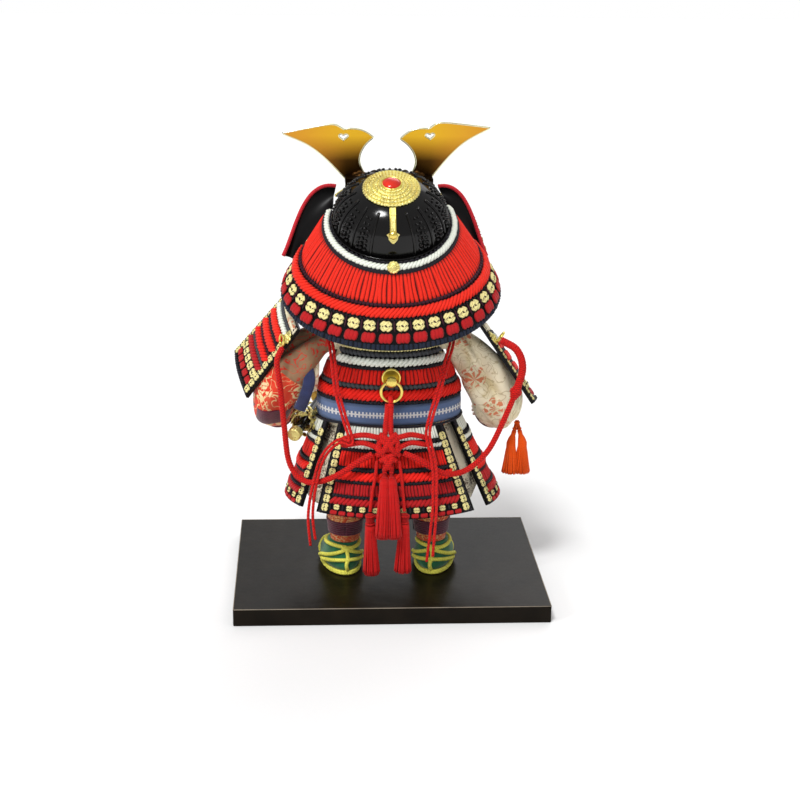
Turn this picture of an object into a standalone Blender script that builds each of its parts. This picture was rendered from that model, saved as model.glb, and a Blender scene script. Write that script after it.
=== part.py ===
"""Samurai doll in laced armour, standing on a lacquered board.

Sizes below are millimetres and become metres when a mesh is made. The doll faces -Y,
its left hand is on the +X side, and the board's underside is the plane Z = 0.
"""
import math

import bmesh
import bpy
from mathutils import Matrix, Vector

MM = 0.001
GAP = 0.3

# Board and stance
BOARD = (220.0, 172.0, 12.5)
FOOT_X = 34.5
LEG_X = 31.3
LEG_Y = 9.0
FOOT_SPLAY = math.radians(9.0)
LEG_TOP = 57.7

# Heights of the clothing
TROUSERS_BOTTOM = 58.0
TROUSERS_TOP = 122.0
BODY_TOP = 194.0
BELT_BOTTOM = 127.2
BELT_TOP = 142.5
CUIRASS_BOTTOM = 143.0
CUIRASS_TOP = 188.0
PLATE_WALL = 3.2

# Skirt of four laced panels, hung below the belt and flared
SKIRT_TOP = 126.5
SKIRT_BOTTOM = 66.0
SKIRT_TOP_SIZE = (50.5, 33.0)
SKIRT_BOTTOM_SIZE = (77.0, 56.0)
SKIRT_SHIFT = -3.5
SKIRT_WALL = 2.4

# Belt: it stands a little proud of the skirt's top, and its lining is clear of the body
BELT_OUTER = (SKIRT_TOP_SIZE[0] + 0.8, SKIRT_TOP_SIZE[1] + 0.8)
BELT_INNER = (SKIRT_TOP_SIZE[0] - 3.1, SKIRT_TOP_SIZE[1] - 3.0)

# Body armour: height, outer half width and outer half depth, from the waist up
CUIRASS_SIZES = ((CUIRASS_BOTTOM, SKIRT_TOP_SIZE[0] - 0.2, SKIRT_TOP_SIZE[1]), (155.0, 47.0, 32.4),
                 (168.0, 42.2, 31.6), (180.0, 38.6, 31.0), (CUIRASS_TOP, 36.4, 30.2))
ARMHOLE = (26.0, 184.5, 18.0)

# Head and neck
HEAD_CENTRE = (0.0, -7.0, 237.0)
HEAD_SIZE = (33.0, 32.0, 39.0)
# Heights on the head, from its centre: its loops, the nose among them, and the hair's ends
NOSE_LEVEL = -10.0
NOSE_LENGTH = 3.2
HEAD_LEVELS = (-34.0, -29.0, -22.0, NOSE_LEVEL, -6.0, 3.0, 13.0, 23.0, 31.0, 36.0)
HAIR_LEVELS = (-25.0, 25.0)
NECK = (0.0, -4.0)
NECK_PEG = 7.0

# Helmet: centre of the bowl's rim, and how far the helmet leans back and to one side
HELMET_CENTRE = (0.0, -2.0, 263.0)
HELMET_TILT = math.radians(28.0)
HELMET_ROLL = math.radians(0.8)
BOWL_HALF_WIDTH = 39.3
BOWL_HALF_LENGTH = 40.5
BOWL_HEIGHT = 33.0
BOWL_POWER = 2.4
BOWL_WALL = 2.4
BOWL_RIB = 0.5
BOWL_SIDES = 32
FLANGE = (BOWL_HALF_WIDTH + 2.9, BOWL_HALF_LENGTH + 4.9)
ROPE_RING = (BOWL_HALF_WIDTH + 4.7, BOWL_HALF_LENGTH + 7.1)
ROPE_RING_RISE = 1.3
ROPE_RADIUS = 1.95
ROPE_REACH = math.radians(108.0)
NECK_GUARD_REACH = math.radians(115.0)
# Neck guard at its top edge, its first braid and its low edge
GUARD_HALF_WIDTHS = (BOWL_HALF_WIDTH + 6.1, 60.6, 75.4)
GUARD_HALF_DEPTHS = (BOWL_HALF_LENGTH + 8.7, 48.2, 60.8)
GUARD_SHIFTS = (0.0, 15.7, 25.5)
GUARD_DROPS = (-1.4, -16.0, -38.0)
TURNBACK_STEP = math.radians(2.6)
DOME_LEVELS = (4.0, 12.0, 19.0, 25.0, 29.5, 32.3)
LINING_LEVELS = (14.4, 22.0, 27.5, 31.8)

# Hardware on the back
BOSS_Z = 162.5
RING_Y = 38.0
RING_Z = 153.4
RING_RADIUS = 7.2
RING_WIRE = 1.25
KNOT_CENTRE = (2.6, 45.5, 116.0)
KNOT_LEAN = math.radians(14.0)

# Shoulder guards: rear top, front top, rear low and front low corners, and the ring's stand
SHOULDER_WALL = 2.4
SHOULDER_GUARDS = {
    "left": ((63.5, 20.5, 193.5), (69.5, -27.0, 211.0), (100.8, 8.0, 140.6),
             (110.0, -30.0, 164.0), math.radians(25.0)),
    "right": ((-62.5, 18.0, 196.0), (-68.5, -27.0, 183.5), (-100.5, 24.0, 140.4),
              (-106.5, -23.0, 127.5), math.radians(70.0)),
}
GUARD_RING_RADIUS = 4.0
GUARD_RING_WIRE = 0.75

# Sword at the left hip: where its sheath ends, and the way the sheath points there
SHEATH_END = (SKIRT_TOP_SIZE[0] + 16.0, 21.0, 119.0)
SHEATH_WAY = (0.335, 0.923, -0.178)
SHEATH_LENGTH = 54.0

# Tassels: how far back the hung pair is, and the sleeve pair's x, y, top and bottom
TASSEL_Y = 61.0
SLEEVE_TASSEL = (-93.6, -8.0, 117.6, 78.0)

# Free cords: radii and the points that they pass through
CORD_RADIUS = 2.25
LACE_RADIUS = 1.8
TASSEL_CORD_RADIUS = 1.3
CORD_ROUTES = {
    "cord_left": (CORD_RADIUS, [
        (75.8, 19.6, 180.2), (79.2, 25.2, 172.0), (77.3, 26.5, 154.4), (74.6, 26.5, 125.4),
        (72.3, 26.5, 102.9), (68.0, 28.5, 92.2), (61.5, 32.0, 87.0), (54.6, 37.0, 87.0),
        (44.2, 43.0, 91.5), (33.8, 47.5, 98.4), (24.1, 48.5, 105.5), (13.5, 47.2, 111.3)]),
    "cord_right": (CORD_RADIUS, [
        (-76.9, 23.0, 186.2), (-87.2, 27.8, 180.6), (-91.4, 30.5, 169.0), (-88.3, 32.0, 155.3),
        (-79.6, 33.0, 132.2), (-69.1, 35.0, 110.3), (-56.9, 39.0, 98.8), (-45.8, 44.0, 95.5),
        (-36.0, 48.0, 97.2), (-26.4, 48.5, 102.4), (-17.5, 48.0, 108.0), (-8.2, 47.2, 111.8)]),
    "lace_left": (LACE_RADIUS, [
        (43.0, 12.7, 186.4), (43.2, 21.5, 188.6), (41.6, 30.5, 184.0), (39.9, 36.0, 170.0),
        (38.0, 39.0, 154.6), (33.1, 43.0, 137.0), (28.4, 49.3, 121.0), (35.6, 47.5, 121.3),
        (43.0, 45.0, 115.2), (48.8, 43.5, 105.5), (52.3, 43.5, 93.3), (55.2, 45.0, 78.5),
        (56.2, 45.5, 62.6), (54.1, 45.5, 43.3)]),
    "lace_right": (LACE_RADIUS, [
        (-42.6, 12.7, 185.8), (-42.8, 21.5, 188.0), (-40.9, 30.5, 183.0), (-36.2, 36.0, 168.0),
        (-31.6, 39.5, 151.0), (-27.0, 44.0, 137.0), (-24.8, 48.0, 125.5), (-27.6, 51.0, 112.4),
        (-29.6, 54.0, 99.5), (-29.5, 57.0, 87.2), (-29.5, 59.5, 73.5), (-28.6, 60.5, 59.6),
        (-27.0, 60.5, 36.0)]),
    "tassel_cord_left": (TASSEL_CORD_RADIUS, [
        (10.4, 47.9, 106.3), (11.4, 50.6, 96.5), (13.6, 55.2, 85.5), (15.4, 60.4, 73.4)]),
    "tassel_cord_right": (TASSEL_CORD_RADIUS, [
        (-5.2, 47.9, 106.3), (-6.6, 50.6, 96.5), (-7.6, 55.2, 85.5), (-8.5, 60.4, 73.4)]),
}

SIDES = (("left", 1.0), ("right", -1.0))


def wall(thickness):
    """Where the two faces of a plate lie from its middle surface."""
    return (-thickness / 2.0, thickness / 2.0)


def linear(value):
    """Turn one display colour level, 0 to 255, into the linear level that a shader takes."""
    level = value / 255.0
    if level <= 0.04045:
        return level / 12.92
    return ((level + 0.055) / 1.055) ** 2.4


def material(name, colour, roughness, metallic=0.0):
    """Find or make a Principled material from a display colour."""
    found = bpy.data.materials.get(name)
    if found:
        return found
    made = bpy.data.materials.new(name)
    made.use_nodes = True
    shader = made.node_tree.nodes["Principled BSDF"]
    shader.inputs["Base Color"].default_value = (*[linear(level) for level in colour], 1.0)
    shader.inputs["Roughness"].default_value = roughness
    shader.inputs["Metallic"].default_value = metallic
    return made


def lacquer():
    return material("black lacquer", (26, 24, 26), 0.18)


def red_lacing():
    return material("red lacing", (214, 40, 38), 0.75)


def gold():
    return material("gold", (232, 186, 84), 0.3, 1.0)


def brocade():
    return material("cream brocade", (206, 192, 160), 0.8)


def add_object(name, mesh_data, look):
    """Link one named object with its own look to the scene."""
    mesh_data.materials.append(look)
    made = bpy.data.objects.new(name, mesh_data)
    bpy.context.scene.collection.objects.link(made)
    return made


def finish(name, mesh, look, frame=None, smooth_angle=35.0):
    """Turn a bmesh drawn in millimetres into a named object in metres."""
    bmesh.ops.transform(mesh, matrix=Matrix.Scale(MM, 4), verts=mesh.verts)
    if frame is not None:
        bmesh.ops.transform(mesh, matrix=frame, verts=mesh.verts)
    bmesh.ops.recalc_face_normals(mesh, faces=mesh.faces)
    data = bpy.data.meshes.new(name)
    mesh.to_mesh(data)
    mesh.free()
    data.shade_smooth()
    data.set_sharp_from_angle(angle=math.radians(smooth_angle))
    return add_object(name, data, look)


def helmet_frame():
    """The helmet's own frame in metres: x to the left, y to the back, z out of the crown."""
    place = Matrix.Translation(Vector(HELMET_CENTRE) * MM)
    lean = Matrix.Rotation(-HELMET_TILT, 4, "X")
    roll = Matrix.Rotation(HELMET_ROLL, 4, "Y")
    return place @ lean @ roll


def oval(centre, half_x, half_y, count):
    """Points of a level oval, starting at the back and running toward the left."""
    points = []
    for step in range(count):
        angle = 2.0 * math.pi * step / count
        offset = Vector((half_x * math.sin(angle), half_y * math.cos(angle), 0.0))
        points.append(Vector(centre) + offset)
    return points


def add_loops(mesh, loops):
    """Add vertex loops of equal length and join each to the next with faces."""
    rows = [[mesh.verts.new(point) for point in loop] for loop in loops]
    count = len(rows[0])
    for lower, upper in zip(rows, rows[1:]):
        for step in range(count):
            after = (step + 1) % count
            mesh.faces.new((lower[step], lower[after], upper[after], upper[step]))
    return rows


def add_stack(mesh, loops):
    """Add a closed body through a stack of loops, with a flat face on each end."""
    rows = add_loops(mesh, loops)
    mesh.faces.new(rows[0])
    mesh.faces.new(rows[-1])


def stack(name, loops, look, frame=None):
    """One closed body through a stack of loops."""
    mesh = bmesh.new()
    add_stack(mesh, loops)
    return finish(name, mesh, look, frame)


def add_tube_wall(mesh, outer, inner):
    """Add a closed ring-shaped wall from its outer and inner loops, bottom to top."""
    add_loops(mesh, outer + inner[::-1] + [outer[0]])
    bmesh.ops.remove_doubles(mesh, verts=mesh.verts, dist=1e-4)


def turned(name, profile, look, frame=None, count=24, stretch=1.0):
    """A turned piece: profile is (radius, height) from the bottom centre to the top centre."""
    mesh = bmesh.new()
    rows = []
    for radius, height in profile:
        if radius == 0.0:
            rows.append([mesh.verts.new((0.0, 0.0, height))])
        else:
            loop = oval((0.0, 0.0, height), radius, radius * stretch, count)
            rows.append([mesh.verts.new(point) for point in loop])
    for lower, upper in zip(rows, rows[1:]):
        for step in range(count):
            after = (step + 1) % count
            if len(lower) == 1:
                mesh.faces.new((lower[0], upper[after], upper[step]))
            elif len(upper) == 1:
                mesh.faces.new((lower[step], lower[after], upper[0]))
            else:
                mesh.faces.new((lower[step], lower[after], upper[after], upper[step]))
    return finish(name, mesh, look, frame)


def surface_normal(surface, across, along):
    """The normal of a surface function, from small steps both ways."""
    step = 1e-3
    run = surface(across + step, along) - surface(across - step, along)
    rise = surface(across, along + step) - surface(across, along - step)
    return run.cross(rise).normalized()


def panel(name, surface, acrosses, rows, skin, look, frame=None, lining=3):
    """A closed panel on a surface, with ridges on its outer side.

    surface(across, along) gives a point, and its normal points to the outer side.
    rows holds (along, ridge height) pairs from the first edge to the last, skin holds how
    far the inner and outer faces lie from the surface, and lining is how many of the rows
    the inner face follows.
    """

    def line(along, lift):
        return [surface(across, along) + surface_normal(surface, across, along) * lift
                for across in acrosses]

    mesh = bmesh.new()
    outer = [[mesh.verts.new(point) for point in line(along, skin[1] + ridge)] for along, ridge in rows]
    picks = [round(place) for place in steps(0, len(rows) - 1, lining)]
    inner = [[mesh.verts.new(point) for point in line(rows[pick][0], skin[0])] for pick in picks]
    for grid in (outer, inner):
        for lower, upper in zip(grid, grid[1:]):
            for step in range(len(acrosses) - 1):
                mesh.faces.new((lower[step], lower[step + 1], upper[step + 1], upper[step]))
    for edge in (0, -1):
        for step in range(len(acrosses) - 1):
            mesh.faces.new((outer[edge][step], outer[edge][step + 1],
                            inner[edge][step + 1], inner[edge][step]))
        for place, (first, last) in enumerate(zip(picks, picks[1:])):
            rim = [row[edge] for row in outer[first:last + 1]]
            mesh.faces.new(rim + [inner[place + 1][edge], inner[place][edge]])
    return finish(name, mesh, look, frame)


def steps(first, last, count):
    """Evenly spaced values with both ends."""
    return [first + (last - first) * step / (count - 1) for step in range(count)]


def bezier(points, share):
    """A point on the Bezier curve of any number of control points."""
    level = [Vector(point) for point in points]
    while len(level) > 1:
        level = [one.lerp(two, share) for one, two in zip(level, level[1:])]
    return level[0]


def smooth_points(points, spacing):
    """Read a smooth curve through the given points at about the given spacing."""
    knots = [Vector(point) for point in points]
    ends = [knots[0] * 2.0 - knots[1]] + knots + [knots[-1] * 2.0 - knots[-2]]
    fine = []
    for before, start, end, after in zip(ends, ends[1:], ends[2:], ends[3:]):
        for part in range(12):
            share = part / 12.0
            bend = (start * 2.0 + (end - before) * share
                    + (before * 2.0 - start * 5.0 + end * 4.0 - after) * share ** 2
                    + (start * 3.0 - before - end * 3.0 + after) * share ** 3)
            fine.append(bend * 0.5)
    fine.append(knots[-1])
    lengths = [0.0]
    for one, two in zip(fine, fine[1:]):
        lengths.append(lengths[-1] + (two - one).length)
    count = max(2, round(lengths[-1] / spacing))
    read = []
    index = 0
    for step in range(count + 1):
        wanted = lengths[-1] * step / count
        while index < len(lengths) - 2 and lengths[index + 1] < wanted:
            index += 1
        share = (wanted - lengths[index]) / (lengths[index + 1] - lengths[index])
        read.append(fine[index].lerp(fine[index + 1], share))
    return read


def free_cord(name, radius, route):
    """One round cord along a smooth curve through its route."""
    data = bpy.data.curves.new(name, "CURVE")
    data.dimensions = "3D"
    data.bevel_depth = radius * MM
    data.bevel_resolution = 2
    data.use_fill_caps = True
    points = smooth_points(route, 5.0 * radius)
    spline = data.splines.new("POLY")
    spline.points.add(len(points) - 1)
    for slot, point in zip(spline.points, points):
        slot.co = (*(point * MM), 1.0)
    return add_object(name, data, red_lacing())


def swept(name, stations, look, count=16):
    """A closed body through stations of (centre, way, half size one, half size two)."""
    loops = []
    first = Vector((0.0, 1.0, 0.0))
    for centre, way, half_one, half_two in stations:
        along = Vector(way).normalized()
        first = (first - along * first.dot(along)).normalized()
        second = along.cross(first)
        loop = []
        for step in range(count):
            angle = 2.0 * math.pi * step / count
            offset = first * half_one * math.cos(angle) + second * half_two * math.sin(angle)
            loop.append(Vector(centre) + offset)
        loops.append(loop)
    return stack(name, loops, look)


def helper(name, mesh, frame=None):
    """A hidden shape that cuts or joins another."""
    made = finish(name, mesh, material("helper", (128, 128, 128), 0.5), frame)
    made.hide_render = True
    made.display_type = "WIRE"
    return made


def combine(target, other, operation):
    """Cut a helper out of a piece, or join it on."""
    modifier = target.modifiers.new(other.name, "BOOLEAN")
    modifier.object = other
    modifier.operation = operation
    modifier.solver = "EXACT"
    return modifier


def bar(start, end, radius, count=12):
    """A bmesh of a round bar between two points."""
    mesh = bmesh.new()
    one = Vector(start)
    two = Vector(end)
    along = (two - one).normalized()
    across = along.orthogonal().normalized()
    other = along.cross(across)
    loops = []
    for centre in (one, two):
        loop = []
        for step in range(count):
            angle = 2.0 * math.pi * step / count
            loop.append(centre + (across * math.cos(angle) + other * math.sin(angle)) * radius)
        loops.append(loop)
    add_stack(mesh, loops)
    return mesh


def block(low, high):
    """A bmesh of a plain box between two corners."""
    mesh = bmesh.new()
    bmesh.ops.create_cube(mesh, size=1.0)
    size = Vector(high) - Vector(low)
    middle = (Vector(high) + Vector(low)) / 2.0
    place = Matrix.Translation(middle) @ Matrix.Diagonal((*size, 1.0))
    bmesh.ops.transform(mesh, matrix=place, verts=mesh.verts)
    return mesh


def round_edges(target, width, segments=2):
    """Round the sharp edges of a piece."""
    modifier = target.modifiers.new("round", "BEVEL")
    modifier.width = width * MM
    modifier.segments = segments
    modifier.limit_method = "ANGLE"
    modifier.angle_limit = math.radians(40.0)
    return modifier


def ring(centre, axis, radius, wire, count=16, sides=6):
    """A bmesh of a round wire ring."""
    mesh = bmesh.new()
    way = Vector(axis).normalized()
    across = way.orthogonal().normalized()
    other = way.cross(across)
    loops = []
    for step in range(count):
        angle = 2.0 * math.pi * step / count
        out = across * math.cos(angle) + other * math.sin(angle)
        loop = []
        for side in range(sides):
            turn = 2.0 * math.pi * side / sides
            offset = out * (radius + wire * math.cos(turn)) + way * wire * math.sin(turn)
            loop.append(Vector(centre) + offset)
        loops.append(loop)
    add_loops(mesh, loops + [loops[0]])
    bmesh.ops.remove_doubles(mesh, verts=mesh.verts, dist=1e-4)
    return mesh


def make_board():
    width, depth, height = BOARD
    mesh = block((-width / 2.0, -depth / 2.0, 0.0), (width / 2.0, depth / 2.0, height))
    round_edges(finish("base_board", mesh, lacquer()), 0.8)


def foot_loop(side, centre_y, z, half_x, half_y, count=16):
    """One level outline of a foot, turned a little outward at the toes."""
    turn = Matrix.Rotation(side * FOOT_SPLAY, 3, "Z")
    heel = Vector((side * FOOT_X, 0.0, 0.0))
    loop = []
    for point in oval((0.0, centre_y, 0.0), half_x, half_y, count):
        loop.append(heel + turn @ point + Vector((0.0, 0.0, z)))
    return loop


def make_foot(name, side):
    """A cord-bound sandal with the cloth foot that stands on it."""
    low = BOARD[2] + GAP
    sole = [foot_loop(side, 0.0, low, 13.6, 28.4), foot_loop(side, 0.0, low + 0.7, 14.6, 29.4),
            foot_loop(side, 0.0, low + 2.1, 14.6, 29.4), foot_loop(side, 0.0, low + 2.8, 13.6, 28.4)]
    stack("sandal_" + name, sole, material("straw", (222, 208, 120), 0.8))
    low = low + 2.8 + GAP
    shape = ((0.0, 0.0, 12.6, 26.6), (2.5, 0.0, 14.2, 28.0), (6.5, 0.5, 14.2, 27.4),
             (11.0, 4.0, 12.8, 21.0), (15.0, 8.0, 11.4, 15.0), (18.6, 9.0, 10.6, 12.4))
    loops = [foot_loop(side, middle, low + rise, half_x, half_y)
             for rise, middle, half_x, half_y in shape]
    stack("foot_" + name, loops, material("green boot", (24, 92, 62), 0.7))


def make_leg(name, side):
    """A brocade lower leg with its peg into the trousers, and the shin guard on its front."""
    shape = ((34.9, 10.4, 11.4), (40.0, 11.2, 12.2), (47.0, 12.0, 13.0), (LEG_TOP, 14.0, 15.0),
             (LEG_TOP, 5.0, 5.0), (70.0, 5.0, 5.0))
    loops = [oval((side * LEG_X, LEG_Y, z), half_x, half_y, 16) for z, half_x, half_y in shape]
    stack("leg_" + name, loops, material("orange brocade", (196, 92, 58), 0.75))

    def shin(across, along):
        z = 37.0 + 17.0 * along
        grow = 1.6 + 0.10 * (z - 37.0)
        return Vector((side * LEG_X + (11.6 + grow) * math.sin(across),
                       LEG_Y - (12.6 + grow) * math.cos(across), z))

    half = math.radians(58.0)
    rows = [(0.0, 0.0), (0.3, 0.0), (0.36, 0.6), (0.42, 0.0), (1.0, 0.0)]
    panel("shin_guard_" + name, shin, steps(-half, half, 9), rows, wall(1.6), lacquer())


def make_trousers():
    """Puffed trousers in deep soft folds, with a hole for each leg's peg."""
    shape = ((TROUSERS_BOTTOM, 50.0, 32.0), (64.0, 60.0, 39.0), (75.0, 64.0, 41.0), (90.0, 60.0, 37.5),
             (106.0, 53.0, 32.5), (TROUSERS_TOP, SKIRT_TOP_SIZE[0] - 4.0, SKIRT_TOP_SIZE[1] - 4.5))
    loops = []
    for z, half_x, half_y in shape:
        loop = []
        for point in oval((0.0, 0.0, z), half_x, half_y, 30):
            angle = math.atan2(point.x / half_x, point.y / half_y)
            fold = 1.0 + 0.018 * math.cos(10.0 * angle)
            loop.append(Vector((point.x * fold - 1.5, point.y * fold, z)))
        loops.append(loop)
    made = stack("trousers", loops, brocade())
    for name, side in SIDES:
        low = (side * LEG_X, LEG_Y, TROUSERS_BOTTOM - 2.0)
        high = (side * LEG_X, LEG_Y, 70.3)
        hole = helper("peg_hole_" + name, bar(low, high, 5.3, 16))
        combine(made, hole, "DIFFERENCE")


def cuirass_size(z):
    """Outer half width and half depth of the body armour at a height."""
    if z <= CUIRASS_BOTTOM:
        return CUIRASS_SIZES[0][1:]
    for low, high in zip(CUIRASS_SIZES, CUIRASS_SIZES[1:]):
        if z <= high[0]:
            share = (z - low[0]) / (high[0] - low[0])
            return low[1] + (high[1] - low[1]) * share, low[2] + (high[2] - low[2]) * share
    return CUIRASS_SIZES[-1][1:]


def make_body():
    """The stuffed body with its shoulders, seated in the armour."""
    slack = PLATE_WALL + GAP + 0.05
    loops = []
    for z in (TROUSERS_TOP + GAP, CUIRASS_BOTTOM, 155.0, 168.0, 180.0, CUIRASS_TOP, BODY_TOP):
        half_x, half_y = cuirass_size(z)
        loops.append(oval((0.0, 0.0, z), half_x - slack, half_y - slack, 28))
    made = stack("body", loops, brocade())
    shoulders = helper("shoulders", block((-40.0, -12.0, 173.5), (40.0, 12.0, 192.5)))
    combine(made, shoulders, "UNION")
    neck_hole = helper("neck_hole", bar((*NECK, 181.7), (*NECK, 196.0), NECK_PEG + GAP + 0.1, 20))
    combine(made, neck_hole, "DIFFERENCE")


def make_cuirass():
    """Body armour of laced rows, with an armhole cut down each side."""
    rows = ((CUIRASS_BOTTOM, 0.0), (144.0, 0.7), (153.0, 0.7), (154.0, 0.0), (155.6, 0.0),
            (156.6, 0.8), (166.8, 0.8), (168.4, 0.0), (170.2, 0.6), (175.0, 0.6),
            (176.0, 0.0), (CUIRASS_TOP, 0.0))
    outer = []
    for z, ridge in rows:
        half_x, half_y = cuirass_size(z)
        outer.append(oval((0.0, 0.0, z), half_x + ridge, half_y + ridge, 28))
    inner = []
    for z in (CUIRASS_BOTTOM, 155.0, 168.0, 180.0, CUIRASS_TOP):
        half_x, half_y = cuirass_size(z)
        inner.append(oval((0.0, 0.0, z), half_x - PLATE_WALL, half_y - PLATE_WALL, 28))
    mesh = bmesh.new()
    add_tube_wall(mesh, outer, inner)
    made = finish("cuirass", mesh, red_lacing())
    inner, z, radius = ARMHOLE
    for name, side in SIDES:
        hole = bar((side * inner, 0.0, z), (side * 60.0, 0.0, z), radius, 20)
        combine(made, helper("armhole_" + name, hole), "DIFFERENCE")


def make_belt():
    """Woven belt round the waist."""
    outer = []
    for z, inset in ((BELT_BOTTOM, 0.6), (BELT_BOTTOM + 0.8, 0.0), (BELT_TOP - 0.8, 0.0), (BELT_TOP, 0.6)):
        outer.append(oval((0.0, 0.0, z), BELT_OUTER[0] - inset, BELT_OUTER[1] - inset, 28))
    inner = [oval((0.0, 0.0, z), *BELT_INNER, 28) for z in (BELT_BOTTOM, BELT_TOP)]
    mesh = bmesh.new()
    add_tube_wall(mesh, outer, inner)
    finish("belt", mesh, material("blue belt", (86, 110, 158), 0.75))


def skirt_point(across, along):
    """A point on the flared skirt: across is the angle from the back, toward the left."""
    half_x = SKIRT_TOP_SIZE[0] + (SKIRT_BOTTOM_SIZE[0] - SKIRT_TOP_SIZE[0]) * along
    half_y = SKIRT_TOP_SIZE[1] + (SKIRT_BOTTOM_SIZE[1] - SKIRT_TOP_SIZE[1]) * along
    z = SKIRT_TOP + (SKIRT_BOTTOM - SKIRT_TOP) * along
    return Vector((half_x * math.sin(across) + SKIRT_SHIFT * along, half_y * math.cos(across), z))


def make_skirt():
    """Four panels, each with long lacing above and rows of plates below."""
    rows = [(0.0, 0.0), (0.2, 0.0), (0.23, 0.8), (0.46, 0.8), (0.49, 0.0), (0.555, 1.1), (0.61, 0.0),
            (0.64, 0.8), (0.76, 0.8), (0.78, 0.0), (0.845, 1.1), (0.885, 0.0), (0.93, 0.5), (1.0, 0.0)]
    spans = (("skirt_back", 0.0, 46.0, 9), ("skirt_left", 91.0, 32.0, 7),
             ("skirt_front", 180.0, 46.0, 9), ("skirt_right", 269.0, 32.0, 7))
    for name, middle, half, count in spans:
        angles = steps(math.radians(middle + half), math.radians(middle - half), count)
        panel(name, skirt_point, angles, rows, wall(SKIRT_WALL), red_lacing())


def make_arm(name, side):
    """A full sleeve from the shoulder to the wrist, and the hand in it."""
    if side > 0.0:
        stations = [((40.3, 0.0, 183.0), (1.0, 0.0, 0.0), 12.3, 9.2),
                    ((51.0, 0.0, 179.5), (0.8, 0.0, -0.6), 14.5, 12.0),
                    ((63.0, 0.0, 169.0), (0.6, 0.0, -0.8), 17.0, 15.5),
                    ((73.0, 0.0, 155.0), (0.5, -0.1, -0.86), 18.0, 17.7),
                    ((81.5, -4.0, 141.0), (0.15, -0.4, -0.9), 18.0, 16.5),
                    ((82.5, -13.0, 128.5), (-0.1, -0.7, -0.7), 16.0, 15.5),
                    ((79.5, -25.0, 121.5), (-0.3, -0.9, -0.3), 12.0, 12.5)]
    else:
        stations = [((-40.3, 0.0, 183.0), (-1.0, 0.0, 0.0), 12.3, 9.2),
                    ((-49.0, 0.0, 179.5), (-0.7, 0.0, -0.7), 14.0, 11.5),
                    ((-58.8, 0.0, 169.5), (-0.55, 0.0, -0.83), 17.0, 14.2),
                    ((-68.0, 0.0, 155.0), (-0.5, -0.1, -0.86), 19.0, 18.8),
                    ((-75.5, -3.0, 141.0), (-0.35, -0.4, -0.85), 19.5, 19.3),
                    ((-79.5, -11.0, 128.5), (0.0, -0.75, -0.66), 18.5, 18.5),
                    ((-77.0, -25.0, 121.5), (0.3, -0.9, -0.3), 13.0, 13.5)]
    look = material("red brocade", (176, 52, 44), 0.75) if side > 0.0 else brocade()
    swept("sleeve_" + name, stations, look)
    wrist = Vector(stations[-1][0])
    way = Vector(stations[-1][1]).normalized()
    inward = Vector((-side * 0.55, -0.8, -0.15)).normalized()
    hand = [(wrist + way * 0.5, way, 5.6, 5.0), (wrist + way * 5.0, way, 6.4, 5.2),
            (wrist + way * 9.0 + inward * 2.0, inward, 6.8, 4.8),
            (wrist + way * 9.0 + inward * 8.0, inward, 6.0, 4.2),
            (wrist + way * 9.0 + inward * 12.0, inward, 3.6, 2.6)]
    swept("hand_" + name, hand, material("skin", (240, 222, 204), 0.45), count=12)


def make_shoulder_guard(name, side):
    """A hanging guard of laced rows beside the upper arm, with its cord ring."""
    rear_top, front_top, rear_low, front_low, stand = SHOULDER_GUARDS[name]

    def guard(across, along):
        top = Vector(rear_top).lerp(Vector(front_top), across)
        low = Vector(rear_low).lerp(Vector(front_low), across)
        bulge = 3.0 * math.sin(math.pi * across)
        return top.lerp(low, along) + Vector((side * 0.78, 0.0, 0.62)) * bulge

    rows = [(0.0, 0.0), (0.16, 0.0), (0.18, 0.6), (0.31, 0.6), (0.33, 0.0), (0.35, 0.8), (0.48, 0.8),
            (0.5, 0.0), (0.52, 0.8), (0.68, 0.8), (0.7, 0.0), (0.76, 0.7), (0.83, 0.0), (0.88, 0.6),
            (1.0, 0.0)]
    half = SHOULDER_WALL / 2.0
    acrosses = steps(0.0, 1.0, 6)
    if side < 0.0:
        acrosses = acrosses[::-1]
    skin = (-half, half) if side > 0.0 else (half, -half)
    if side < 0.0:
        rows = [(along, -ridge) for along, ridge in rows]
    panel("shoulder_guard_" + name, guard, acrosses, rows, skin, red_lacing())
    across, along = 0.05, 0.22
    out = surface_normal(guard, across, along) * side
    down = (guard(across, along + 0.01) - guard(across, along)).normalized()
    reach = half + 0.6 + GAP + GUARD_RING_WIRE + GUARD_RING_RADIUS * math.sin(stand)
    axis = out * math.cos(stand) + down * math.sin(stand)
    hoop = ring(guard(across, along) + out * reach, axis, GUARD_RING_RADIUS, GUARD_RING_WIRE)
    finish("guard_ring_" + name, hoop, gold())


def head_factor(z):
    """How wide the head is at a height, against its widest."""
    rise = z - HEAD_CENTRE[2]
    power = 2.5 if rise < 0.0 else 2.1
    return (1.0 - (abs(rise) / HEAD_SIZE[2]) ** power) ** (1.0 / power)


def make_head():
    """Head with full cheeks and a small nose, on a neck whose peg enters the body."""
    neck_y = NECK[1]
    neck_z = BODY_TOP + GAP
    loops = [oval((0.0, neck_y, 182.0), NECK_PEG, NECK_PEG, 20),
             oval((0.0, neck_y, neck_z), NECK_PEG, NECK_PEG, 20),
             oval((0.0, neck_y, neck_z), 11.5, 11.5, 20),
             oval((0.0, neck_y - 0.5, 200.0), 12.0, 12.0, 20)]
    for level in HEAD_LEVELS:
        z = HEAD_CENTRE[2] + level
        size = head_factor(z)
        loop = oval((0.0, HEAD_CENTRE[1], z), HEAD_SIZE[0] * size, HEAD_SIZE[1] * size, 20)
        if level == NOSE_LEVEL:
            loop[10] += Vector((0.0, -NOSE_LENGTH, 0.0))
        loops.append(loop)
    stack("head", loops, material("skin", (240, 222, 204), 0.45))


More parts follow.
